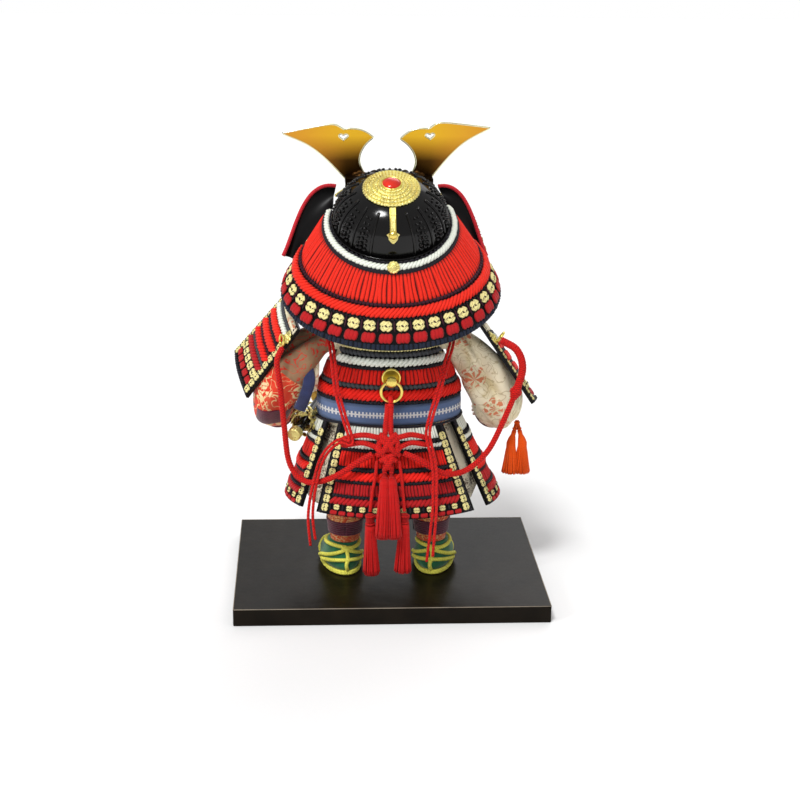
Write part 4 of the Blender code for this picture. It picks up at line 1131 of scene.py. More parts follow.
@dataclass
class LacedPlate:
    """A plate of the armour with rows of silk laced over it."""

    name: str
    surface: Surface
    reach: tuple[float, float]
    ridges: Sequence[tuple[float, float]]
    rows: Sequence[Row]
    skin: float = 1.2
    sign: float = 1.0
    edges: bool = False
    seed: int = 3

    def lift(self, along: float) -> float:
        """How far the plate's outer face stands off its surface."""
        return self.skin + between(self.ridges, along)[0]

    def point(self, across: float, along: float, extra: float = 0.0) -> tuple[Vector, Vector]:
        """Give a point on the plate's outer face and its outward direction."""
        normal = surface_normal(self.surface, across, along) * self.sign
        return self.surface(across, along) + normal * (self.lift(along) + extra), normal

    def walk(self, start: tuple[float, float], end: tuple[float, float], pitch: float,
             extra: float = 0.0) -> list[tuple[Vector, Vector, Vector]]:
        """Step along a straight line of the plate's own coordinates.

        Args:
            start: (across, along) of the first end.
            end: (across, along) of the other end.
            pitch: the length of a step.
            extra: height above the outer face.

        Returns:
            (point, way, outward) at the middle of every step.
        """
        fine = [(start[0] + (end[0] - start[0]) * share, start[1] + (end[1] - start[1]) * share)
                for share in steps(0.0, 1.0, 90)]
        points = [self.point(across, along, extra) for across, along in fine]
        total = distances([place for place, _ in points])
        count = max(1, round(total[-1] / pitch))
        found = []
        index = 0
        for step in range(count):
            wanted = total[-1] * (step + 0.5) / count
            while index < len(total) - 2 and total[index + 1] < wanted:
                index += 1
            share = (wanted - total[index]) / max(1e-9, total[index + 1] - total[index])
            place = points[index][0].lerp(points[index + 1][0], share)
            outward = points[index][1].lerp(points[index + 1][1], share).normalized()
            found.append((place, (points[index + 1][0] - points[index][0]).normalized(), outward))
        return found

    def width(self, row: Row) -> float:
        """The length of a row along the plate, in millimetres."""
        middle = sum(self.reach) / 2.0
        return (self.surface(middle, row.end) - self.surface(middle, row.start)).length

    def cords(self, row: Row, name: str) -> None:
        """Lay long cords side by side as one ridged sheet."""
        chance = random.Random(self.seed)
        middle = (row.start + row.end) / 2.0
        line = self.walk((self.reach[0], middle), (self.reach[1], middle), row.pitch)
        count = len(line)
        profile = ((0.0, 0.0), (0.14, 0.62), (0.34, 0.96), (0.5, 1.0), (0.66, 0.96), (0.86, 0.62))
        spread = [(chance.uniform(0.7, 1.15), chance.uniform(-0.22, 0.22)) for _ in range(count)]
        rows = []
        relief = []
        for share in steps(0.0, 1.0, 8):
            along = row.start + (row.end - row.start) * share
            highlight_edge = min(1.0, min(share, 1.0 - share) * 9.0 + 0.12)
            points = []
            level = []
            for index in range(count):
                tall, slide = spread[index]
                for part, rise in profile:
                    place = (index + part + slide * math.sin(math.pi * share)) / count
                    across = self.reach[0] + (self.reach[1] - self.reach[0]) * min(1.0, max(0.0, place))
                    height = row.height * rise * tall * (0.35 + 0.65 * highlight_edge) - 0.25
                    points.append(self.point(across, along, height)[0])
                    # Relief is low at each cord's sides and where the cords run under the row's ends, where
                    # the finish paints shade.
                    level.append(rise * (0.35 + 0.65 * highlight_edge) * min(1.0, tall + 0.1))
            points.append(self.point(self.reach[1], along, -0.25)[0])
            level.append(0.0)
            rows.append(points)
            relief.append(level)
        shape = Shape()
        shape.grid(rows, relief, out=self.point(self.reach[0], row.start)[1])
        shape.piece(name, row.finish, solid=False)

    def twist(self, row: Row, line: Sequence, strands: Strands, half: float) -> None:
        """Lay slanting strands one behind another, as a thick rope shows them."""
        for place, way, outward in line:
            across = outward.cross(way)
            run = (way * row.lean + across * 0.95).normalized()
            strands.add(place, outward, run, half * 2.85, row.pitch * 1.02, row.height * 2.1)

    def knots(self, row: Row, line: Sequence, strands: Strands, dark: Strands, half: float) -> None:
        """Lay square cross knots with a dark twist through each and between them."""
        for place, way, outward in line:
            across = outward.cross(way)
            one = (way * 1.15 + across).normalized()
            two = (way * 1.15 - across).normalized()
            for shift in (-0.4, 0.4):
                strands.add(place + one * shift * half, outward, two, half * 1.95, half * 0.8,
                            row.height * 1.5)
                strands.add(place + two * shift * half + outward * 0.35, outward, one, half * 1.95,
                            half * 0.74, row.height * 1.5)
            for side in (-1.0, 1.0):
                for run, other in ((one, two), (two, one)):
                    strands.add(place + run * side * half * 0.92, outward, other, half * 1.25, half * 0.6,
                                row.height * 1.3)
                dark.add(place + outward * 0.7 + way * side * half * 0.66, outward, one, half * 0.55,
                         half * 0.24, row.height * 1.2)
            dark.add(place + outward * 0.8, outward, two, half * 0.8, half * 0.26, row.height * 1.3)
            dark.add(place + way * row.pitch * 0.5, outward, across, half * 2.3, 1.3, 1.5)

    def pads(self, row: Row, line: Sequence, strands: Strands, half: float) -> None:
        """Lay short fat knots, each of three strands side by side."""
        wide = row.pitch * 0.74
        for place, way, outward in line:
            across = outward.cross(way)
            for shift in (-0.33, 0.0, 0.33):
                run = (across + way * 0.15).normalized()
                strands.add(place + way * shift * wide * 0.9, outward, run, half * 1.95, wide * 0.56,
                            row.height * 1.8)

    def build(self, strands: "Silks") -> None:
        """Lay every row of the plate.

        Args:
            strands: the collection that takes the short strands.
        """
        whole = self.reach
        if self.edges:
            inset = (whole[1] - whole[0]) * 0.07
            self.reach = (whole[0] + inset, whole[1] - inset)
        for index, row in enumerate(self.rows):
            if row.kind is RowKind.CORDS:
                self.cords(row, f"{self.name}_cords_{index}")
                continue
            middle = (row.start + row.end) / 2.0
            half = self.width(row) / 2.0
            line = self.walk((self.reach[0], middle), (self.reach[1], middle), row.pitch,
                             row.height * 0.35)
            self.lay(row, line, strands, half)
        self.reach = whole
        if self.edges:
            for across, lean in ((self.reach[0], 1.0), (self.reach[1], -1.0)):
                inset = (self.reach[1] - self.reach[0]) * 0.03 * lean
                row = Row(RowKind.KNOTS, 0.0, 1.0, CREAM, 6.0, 0.9)
                line = self.walk((across + inset, 0.1), (across + inset, 0.98), 6.0, 0.4)
                self.lay(row, line, strands, 2.5)
                row = Row(RowKind.TWIST, 0.0, 1.0, BLACK, 2.6, 0.8)
                line = self.walk((across, 0.0), (across, 1.0), 2.6, 0.0)
                self.lay(row, line, strands, 1.0)

    def lay(self, row: Row, line: Sequence, strands: "Silks", half: float) -> None:
        """Lay one row's strands along a line."""
        mine = strands.of(self.name, row.finish, row.kind is RowKind.BEADS)
        if row.kind is RowKind.TWIST:
            self.twist(row, line, mine, half)
        elif row.kind is RowKind.KNOTS:
            self.knots(row, line, mine, strands.of(self.name, row.second or BLACK, False), half)
        elif row.kind is RowKind.PADS:
            self.pads(row, line, mine, half)
        else:
            for place, way, outward in line:
                mine.add(place, outward, way, half * 1.9, half * 1.9, half * 1.9)


@dataclass
class Silks:
    """All the short strands of the doll, one piece for each plate and finish."""

    found: dict[str, Strands] = field(default_factory=dict)

    def of(self, name: str, finish: Finish, bead: bool) -> Strands:
        """Give the strands of one plate and finish."""
        label = f"{name}_{finish.name.replace(' ', '_')}" + ("_beads" if bead else "")
        if label not in self.found:
            self.found[label] = Strands(label, finish, bead)
        return self.found[label]

    def build(self) -> None:
        """Lay them all."""
        for strands in self.found.values():
            strands.build()
        log.info("laid %d groups of strands", len(self.found))


# ---------------------------------------------------------------- stage

@dataclass
class Studio:
    """Camera, lamps, floor and plain white surroundings."""

    lens: float = 74.3
    place: tuple[float, float, float] = (0.0590, 1.1307, 0.4799)
    forward: tuple[float, float, float] = (-0.0566, -0.9552, -0.2905)
    roll: float = 0.0127
    sky: float = 0.5

    def camera(self) -> None:
        """Set the camera at the photograph's viewpoint."""
        data = bpy.data.cameras.new("camera")
        data.lens = self.lens
        data.sensor_width = 36.0
        data.clip_start = 0.01
        made = placed("camera", data)
        forward = Vector(self.forward).normalized()
        right = forward.cross(UP).normalized()
        up = right.cross(forward)
        right, up = (right * math.cos(self.roll) + up * math.sin(self.roll),
                     up * math.cos(self.roll) - right * math.sin(self.roll))
        turn = Matrix((right, up, -forward)).transposed().to_4x4()
        made.matrix_world = Matrix.Translation(self.place) @ turn
        bpy.context.scene.camera = made

    def lamps(self) -> None:
        """Light evenly from three sides with broad soft lamps far away."""
        for name, place, wide, power in (("lamp_above", (0.5, 0.9, 1.7), 13.0, 1.9),
                                         ("lamp_left", (1.6, 0.9, 0.9), 16.0, 0.6),
                                         ("lamp_front", (-0.5, -1.5, 1.2), 40.0, 0.7)):
            data = bpy.data.lights.new(name, "SUN")
            data.energy = power
            data.angle = math.radians(wide)
            made = placed(name, data)
            way = -Vector(place).normalized()
            made.matrix_world = way.to_track_quat("-Z", "Y").to_matrix().to_4x4()
            made.visible_glossy = name != "lamp_left"

    def world(self) -> None:
        """Light all round softly, and show plain white behind."""
        world = bpy.data.worlds.new("surroundings")
        bpy.context.scene.world = world
        world.use_nodes = True
        tree = world.node_tree
        back = tree.nodes["Background"]
        rays = tree.nodes.new("ShaderNodeLightPath")
        seen = tree.nodes.new("ShaderNodeMath")
        seen.operation = "MAXIMUM"
        tree.links.new(rays.outputs["Is Camera Ray"], seen.inputs[0])
        tree.links.new(rays.outputs["Is Transmission Ray"], seen.inputs[1])
        level = tree.nodes.new("ShaderNodeMapRange")
        tree.links.new(seen.outputs[0], level.inputs["Value"])
        level.inputs["To Min"].default_value = self.sky
        level.inputs["To Max"].default_value = 1.0
        tree.links.new(level.outputs["Result"], back.inputs["Strength"])
        back.inputs["Color"].default_value = (1.0, 1.0, 1.0, 1.0)

    def floor(self) -> None:
        """Lay a wide pale floor."""
        data = bpy.data.meshes.new("floor")
        half = 6.0
        data.from_pydata([(-half, -half, 0.0), (half, -half, 0.0), (half, half, 0.0), (-half, half, 0.0)],
                         [], [(0, 1, 2, 3)])
        graph = Graph("pale floor")
        tone = graph.noise(graph.place(), 400.0, 2.0)
        colour = graph.ramp(tone, [(0.3, (0.9, 0.9, 0.9, 1.0)), (0.7, (0.91, 0.91, 0.91, 1.0))])
        data.materials.append(graph.finish(colour, 0.9))
        placed("floor", data)

    def build(self) -> None:
        """Set up the whole studio."""
        self.camera()
        self.lamps()
        self.world()
        self.floor()
        bpy.context.scene.view_settings.view_transform = "Standard"


# ---------------------------------------------------------------- cords and tassels

@dataclass(frozen=True)
class FreeCord:
    """A silk cord that is free between its ends."""

    name: str
    radius: float
    route: Sequence[tuple[float, float, float]]
    end: str
    lobes: int = 4
    pitch: float = 8.0
    wrap: float = 0.0

    def path(self, spacing: float = 1.0) -> list[Vector]:
        """Read the cord's centreline."""
        return smooth_points(self.route, spacing)

    def declare(self, made: bpy.types.Object, path: Sequence[Vector], diameter: float,
                pieces: Sequence[bpy.types.Object]) -> None:
        """Take the cord's path and diameter, and do nothing with them."""

    def build(self, pieces: Sequence[bpy.types.Object] = ()) -> bpy.types.Object:
        """Make the plaited cord in place of its CAD solid."""
        path = self.path(0.55)
        made = corded(self.name + "_silk", CORD_RED, [path], self.radius, 24, self.lobes, self.pitch, 0.36,
                      nodes=[self.name], plaited=True)
        self.declare(made, path, self.radius * 2.0, pieces)
        if self.wrap:
            self.binding(path)
        return made

    def binding(self, path: Sequence[Vector]) -> None:
        """Wrap the cord's first stretch with a second strand that ends in a flared knot."""
        bound = [path[0]]
        run = 0.0
        radii = [self.radius * 1.3]
        for before, point in zip(path, path[1:]):
            run += (point - before).length
            if run > self.wrap + 5.0:
                break
            bound.append(point)
            flare = math.exp(-((run - self.wrap) / 2.6) ** 2)
            radii.append(self.radius * (1.3 + 0.8 * flare))
        shape = Shape()
        shape.tube(bound, radii, 24, 4, 6.0, 0.3, plaited=True)
        shape.piece(self.name + "_wrap", CORD_RED)


@dataclass(frozen=True)
class LacePair(FreeCord):
    """Two thin laces that run side by side where the CAD has one cord."""

    thin: float = 1.15
    apart: float = 1.2

    def build(self, pieces: Sequence[bpy.types.Object] = ()) -> bpy.types.Object:
        """Make both laces."""
        middle = self.path()
        last = len(middle) - 1
        for label, side in (("a", -1.0), ("b", 1.0)):
            path = []
            for index, (point, (way, _, _)) in enumerate(zip(middle, frames_along(middle, BACK))):
                across = way.cross(Vector((0.0, 1.0, 0.15))).normalized()
                share = index / last
                spread = self.apart * (1.0 + 1.1 * max(0.0, share - 0.75) * 4.0 * (0.6 + 0.4 * side))
                path.append(point + across * side * spread)
            path = path[:len(path) - (0 if side > 0.0 else 4)]
            made = corded(f"{self.name}_{label}", CORD_RED, [path], self.thin, 10, 2, 3.4, 0.25,
                          nodes=[self.name] if side < 0.0 else [], plaited=True)
            self.declare(made, path, self.thin * 2.0, pieces)
        return made


@dataclass(frozen=True)
class Tassel:
    """A bound head with a skirt of loose threads."""

    name: str
    stations: Sequence[tuple[float, float, float, float]]
    finish: Finish
    threads: int = 46
    nodes: Sequence[str] = ()
    seed: int = 5

    def build(self) -> bpy.types.Object:
        """Make the head, its binding and every thread as one piece."""
        chance = random.Random(self.seed)
        centres = [Vector(station[:3]) for station in self.stations]
        shape = Shape()
        path = smooth_points(centres, 1.6)
        marks = distances(centres)
        table = [(mark / marks[-1], station[3]) for mark, station in zip(marks, self.stations)]
        travelled = distances(path)
        radii = [between(table, at / travelled[-1])[0] * 0.86 for at in travelled]
        frames = frames_along(path, BACK)
        grid = []
        relief = []
        for point, radius, (_, first, second) in zip(path, radii, frames):
            row = []
            level = []
            for step, angle in enumerate(turn_angles(44)):
                groove = 1.0 if step % 2 else 0.82
                row.append(point + (first * math.cos(angle) + second * math.sin(angle)) * radius * groove)
                # Relief is low in the grooves between the bound threads, where the finish paints shade.
                level.append(0.9 if step % 2 else 0.2)
            grid.append(row)
            relief.append(level)
        shape.grid(grid, relief, closed=True, caps=True)
        start = max(1, int(len(path) * 0.2))
        for thread in range(self.threads):
            angle = 2.0 * math.pi * (thread + chance.uniform(-0.3, 0.3)) / self.threads
            swing = chance.uniform(-0.12, 0.12)
            reach = chance.uniform(0.98, 1.12)
            line = []
            for index in range(start, len(path), 2):
                _, first, second = frames[index]
                share = (index - start) / max(1, len(path) - 1 - start)
                turn = angle + swing * share
                radius = radii[index] * (1.0 + (reach - 0.95) * share)
                line.append(path[index] + (first * math.cos(turn) + second * math.sin(turn)) * radius)
            if len(line) > 2:
                shape.tube(line, 0.34, 5)
        for mark in (0.06, 0.17):
            index = min(len(path) - 2, max(1, int(len(path) * mark)))
            _, first, second = frames[index]
            size = radii[index] * 1.06
            shape.tube(ring_path(path[index], first * size, second * size, 24), 0.6, 6, 3, 3.0, 0.2)
        return shape.piece(self.name, self.finish, self.nodes)


def hung_tassel(x: float, top: float, bottom: float, lean: float) -> list[tuple[float, float, float, float]]:
    """Stations of a tassel with a bound head that hangs straight down."""
    shape = ((0.0, 2.4), (0.04, 3.5), (0.12, 3.7), (0.15, 3.2), (0.18, 3.8), (0.55, 4.7), (1.0, 6.2))
    return [(x + lean * share, 61.0, top + (bottom - top) * share, radius) for share, radius in shape]


def paired_tassel(x: float, lean: float) -> list[tuple[float, float, float, float]]:
    """Stations of one of the middle pair, which lies on the flared skirt."""
    shape = ((0.0, 48.0, 106.0, 1.3), (0.05, 52.6, 96.4, 1.3), (0.1, 54.4, 94.6, 3.4),
             (0.25, 57.4, 89.4, 3.9), (0.3, 58.4, 88.2, 3.4), (0.35, 60.0, 86.0, 4.1),
             (0.7, 65.4, 72.0, 4.6), (1.0, 68.4, 56.5, 5.2))
    return [(x + lean * share, y, z, radius) for share, y, z, radius in shape]


def drawn_tassel(lean: float) -> list[tuple[float, float, float, float]]:
    """Stations of one of the pair on the right sleeve's drawstring."""
    shape = ((0.0, 1.5), (0.3, 1.6), (0.34, 2.6), (0.42, 3.5), (0.47, 3.1), (0.56, 3.9), (1.0, 6.4))
    return [(-94.0 + lean * min(1.0, share * 2.4), -8.0, 117.6 - 39.6 * share, radius)
            for share, radius in shape]


@dataclass
class BackCords:
    """The cords, laces, knot and tassels that hang on the doll's back."""

    left: Sequence[tuple[float, float, float]] = (
        (75.8, 19.6, 180.2), (79.2, 25.2, 172.0), (77.3, 26.5, 154.4), (74.6, 26.5, 125.4),
        (72.3, 26.5, 102.9), (68.0, 28.5, 92.2), (61.5, 32.0, 87.0), (54.6, 37.0, 87.0),
        (44.2, 43.0, 91.5), (33.8, 47.5, 98.4), (24.1, 48.5, 105.5), (13.5, 47.2, 111.3))
    right: Sequence[tuple[float, float, float]] = (
        (-76.9, 23.0, 186.2), (-87.2, 27.8, 180.6), (-91.4, 30.5, 169.0), (-88.3, 32.0, 155.3),
        (-79.6, 33.0, 132.2), (-69.1, 35.0, 110.3), (-56.9, 39.0, 98.8), (-45.8, 44.0, 95.5),
        (-36.0, 48.0, 97.2), (-26.4, 48.5, 102.4), (-17.5, 48.0, 108.0), (-8.2, 47.2, 111.8))
    lace_left: Sequence[tuple[float, float, float]] = (
        (43.0, 12.7, 186.4), (43.2, 21.5, 188.6), (41.6, 30.5, 184.0), (39.9, 36.0, 170.0),
        (38.0, 39.0, 154.6), (33.1, 43.0, 137.0), (28.4, 49.3, 121.0), (35.6, 47.5, 121.3),
        (43.0, 45.0, 115.2), (48.8, 43.5, 105.5), (52.3, 43.5, 93.3), (55.2, 45.0, 78.5),
        (56.2, 45.5, 62.6), (54.1, 45.5, 43.3))
    lace_right: Sequence[tuple[float, float, float]] = (
        (-42.6, 12.7, 185.8), (-42.8, 21.5, 188.0), (-40.9, 30.5, 183.0), (-36.2, 36.0, 168.0),
        (-31.6, 39.5, 151.0), (-27.0, 44.0, 137.0), (-24.8, 48.0, 125.5), (-27.6, 51.0, 112.4),
        (-29.6, 54.0, 99.5), (-29.5, 57.0, 87.2), (-29.5, 59.5, 73.5), (-28.6, 60.5, 59.6),
        (-27.0, 60.5, 36.0))
    short_left: Sequence[tuple[float, float, float]] = (
        (10.4, 47.9, 106.3), (11.4, 50.6, 96.5), (13.6, 55.2, 85.5), (15.4, 60.4, 73.4))
    short_right: Sequence[tuple[float, float, float]] = (
        (-5.2, 47.9, 106.3), (-6.6, 50.6, 96.5), (-7.6, 55.2, 85.5), (-8.5, 60.4, 73.4))
    centre: tuple[float, float, float] = (2.6, 45.5, 116.0)
    strand: float = 2.1
    eye: tuple[float, float, float] = (0.8, 38.0, 146.2)
    eye_reach: float = 3.1

    def knot(self) -> None:
        """Tie the knot below the ring: strands, plaited heart and two side loops."""
        x, y, z = self.centre
        shape = Shape()
        lines = []
        for side, reach in ((1.0, 30.0), (-1.0, 27.0)):
            lines.append([(x - side * 2.0, y + 2.6, z + 4.6), (x + side * 9.0, y + 2.2, z + 8.0),
                          (x + side * reach * 0.62, y + 0.6, z + 8.8), (x + side * reach, y - 0.6, z + 6.0),
                          (x + side * (reach + 1.6), y - 1.2, z + 3.2)])
            lines.append([(x - side * 1.0, y + 2.0, z - 2.6), (x + side * 8.0, y + 1.6, z + 0.2),
                          (x + side * reach * 0.6, y + 0.2, z + 3.0), (x + side * reach, y - 0.8, z + 1.2),
                          (x + side * (reach + 1.8), y - 1.4, z + 3.6)])
            lines.append([(x + side * 1.15 - 1.0, y - 6.6, z + 29.0),
                          (x + side * 1.3 - 0.6, y - 4.4, z + 23.0),
                          (x + side * 1.7, y - 1.8, z + 15.0), (x + side * 2.4, y + 0.4, z + 9.0),
                          (x + side * 6.2, y + 2.6, z + 3.6), (x + side * 4.4, y + 3.6, z - 3.5),
                          (x - side * 1.5, y + 4.2, z - 6.8), (x - side * 5.6, y + 3.2, z - 9.4)])
            lines.append([(x + side * 8.6, y - 0.5, z + 7.4), (x + side * 3.0, y + 3.6, z + 4.4),
                          (x - side * 2.6, y + 4.2, z - 0.8), (x - side * 7.8, y + 2.2, z - 5.6)])
            lines.append([(x + side * 9.4, y + 0.8, z + 1.0), (x + side * 4.2, y + 4.6, z - 2.2),
                          (x - side * 1.0, y + 3.8, z + 6.6), (x - side * 6.0, y + 1.4, z + 9.6)])
            lines.append([(x + side * 3.4, y + 3.0, z - 5.0), (x + side * 1.4, y + 5.2, z - 9.2),
                          (x - side * 1.2, y + 4.8, z - 13.4), (x - side * 2.4, y + 3.0, z - 16.4)])
        for line in lines:
            shape.tube(smooth_points(line, 0.6), self.strand, 24, 4, 7.0, 0.34, plaited=True, side=BACK)
        eye = ring_path(Vector(self.eye), BACK * self.eye_reach, UP * self.eye_reach, 24)
        shape.tube(eye, 1.7, 14, 4, 5.0, 0.24)
        shape.piece("knot_silk", CORD_RED, ["bow_knot"])

    def build(self) -> None:
        """Make every cord, then the knot and the tassels."""
        FreeCord("cord_left", 2.25, self.left, "object").build()
        FreeCord("cord_right", 2.25, self.right, "object", wrap=44.0).build()
        LacePair("lace_left", 1.8, self.lace_left, "bare").build()
        LacePair("lace_right", 1.8, self.lace_right, "bare").build()
        for name, route, x, top, low, lean in (("left", self.short_left, 15.4, 72.4, 27.5, -1.4),
                                               ("right", self.short_right, -8.5, 72.4, 29.5, 0.7)):
            tassel = Tassel(f"tassel_{name}_silk", hung_tassel(x, top, low, lean), TASSEL_RED,
                            nodes=[f"tassel_{name}"]).build()
            FreeCord(f"tassel_cord_{name}", 1.3, route, "knot", 4, 5.0).build([tassel])
        Tassel("tassel_middle_a", paired_tassel(0.4, -2.0), TASSEL_RED, nodes=["tassel_middle"]).build()
        Tassel("tassel_middle_b", paired_tassel(5.0, 2.2), TASSEL_RED, seed=8).build()
        self.knot()
        log.info("cords, knot and tassels made")


# ---------------------------------------------------------------- armour

def guard_value(first: float, middle: float, last: float, along: float) -> float:
    """Read a curve through three values, the middle one at the neck guard's first braid."""
    bend = 0.37
    return (first * (along - bend) * (along - 1.0) / bend
            + middle * along * (along - 1.0) / (bend * (bend - 1.0))
            + last * along * (along - bend) / (1.0 - bend))


def neck_guard_point(across: float, along: float) -> Vector:
    """Give a point on the neck guard, across from the back to the left."""
    half_x = guard_value(45.4, 60.6, 75.4, along)
    half_y = guard_value(49.2, 48.2, 60.8, along)
    shift = guard_value(0.0, 15.7, 25.5, along)
    height = guard_value(-1.4, -16.0, -38.0, along)
    return HELMET @ Vector((half_x * math.sin(across), shift + half_y * math.cos(across), height))


@dataclass
class NeckGuard:
    """The wide neck guard and its two turned-back ends."""

    reach: float = math.radians(115.0)
    step: float = math.radians(2.6)

    def rows(self) -> list[Row]:
        """List the rows of silk, from the bowl's rim down."""
        kind = RowKind
        return [
            Row(kind.TWIST, 0.0, 0.03, BLACK, 1.7, 0.8),
            Row(kind.CORDS, 0.03, 0.388, RED, 2.7, 1.1),
            Row(kind.TWIST, 0.392, 0.425, PLUM, 2.7, 1.1),
            Row(kind.TWIST, 0.437, 0.57, RED, 3.1, 1.7),
            Row(kind.TWIST, 0.58, 0.6, BLACK, 2.4, 0.8),
            Row(kind.KNOTS, 0.612, 0.75, CREAM, 11.0, 1.1, second=PLUM),
            Row(kind.PADS, 0.775, 0.925, CRIMSON, 11.6, 1.2),
            Row(kind.CORDS, 0.935, 1.025, NAVY, 2.8, 1.2),
        ]

    def plate(self) -> None:
        """Make the plate itself and lace it."""
        ridges = [(0.0, 0.0), (0.03, 0.9), (0.38, 0.9), (0.392, 0.0), (0.437, 0.2), (0.5, 1.5),
                  (0.57, 0.2), (0.6, 0.0), (0.615, 0.9), (0.75, 0.9), (0.765, 0.0), (0.78, 0.8),
                  (0.92, 0.8), (0.94, 0.0), (1.03, 0.0)]
        low = [(along, ridge * 0.45 - 0.1) for along, ridge in ridges]
        base = slab(neck_guard_point, steps(self.reach, -self.reach, 90), steps(0.0, 1.02, 26), -1.2, 1.0,
                    lambda across, along: between(low, along)[0])
        base.piece("neck_guard_plate", PLATE_LACQUER, ["neck_guard"], sharp=50.0)
        laced = LacedPlate("neck_guard", neck_guard_point, (-self.reach, self.reach), low, self.rows(), 1.05)
        laced.build(SILKS)
        for side in (-1.0, 1.0):
            line = laced.walk((side * self.reach * 0.985, 0.36), (side * self.reach * 0.985, 0.98), 5.6, 0.5)
            laced.lay(Row(RowKind.KNOTS, 0.0, 1.0, CREAM, 5.6, 0.9), line, SILKS, 1.9)

    def turnback(self, name: str, side: float) -> None:
        """Make one turned-back end with its red rim and cream knots."""
        width = 1.0 if side > 0.0 else 0.93
        free = [(75.0 * width, -20.0, 237.0), (66.0 * width, -26.0, 254.0),
                (61.0 * width, -29.0, 290.0), (37.5 * width, -31.0, 285.0)]

        def plate(across: float, along: float) -> Vector:
            """Give a point from the guard's front edge out to the free edge."""
            low = neck_guard_point(side * (self.reach + self.step), 0.86 * (1.0 - along))
            x, y, z = bezier(free, along)
            point = low.lerp(Vector((side * x, y, z)), across)
            return point + Vector((0.0, -18.0 * across * (1.0 - across), 0.0))

        slab(plate, steps(0.0, 1.0, 22), steps(0.0, 1.0, 34), -0.9, 0.9).piece(
            f"turnback_{name}_plate", PLATE_LACQUER, [f"turnback_{name}"], sharp=50.0)
        rim = [plate(1.0, along) for along in steps(0.0, 1.0, 60)]
        shape = Shape()
        shape.tube(even_points(rim, 0.9), 1.4, 12, 3, 5.0, 0.16)
        shape.piece(f"turnback_{name}_rim", RIM_SILK)
        front = LacedPlate(f"turnback_{name}", plate, (0.0, 1.0), [(0.0, 0.0), (1.0, 0.0)], [], 0.9, side)
        line = front.walk((0.86, 0.04), (0.86, 0.97), 6.6, 0.4)
        front.lay(Row(RowKind.KNOTS, 0.0, 1.0, CREAM, 6.6, 0.9), line, SILKS, 2.2)
        line = front.walk((0.68, 0.03), (0.68, 0.97), 2.4, 0.2)
        front.lay(Row(RowKind.TWIST, 0.0, 1.0, BLACK, 2.4, 0.8), line, SILKS, 1.0)
        cover_faces = (0.85, 1.3) if side > 0.0 else (-1.3, -0.85)
        leather = slab(plate, steps(0.06, 0.64, 14), steps(0.04, 0.96, 24), *cover_faces)
        leather.piece(f"turnback_{name}_cloth", CREAM_BROCADE)

    def build(self) -> None:
        """Make the guard and both turned-back ends."""
        self.plate()
        for name, side in SIDES:
            self.turnback(name, side)
        log.info("neck guard made")


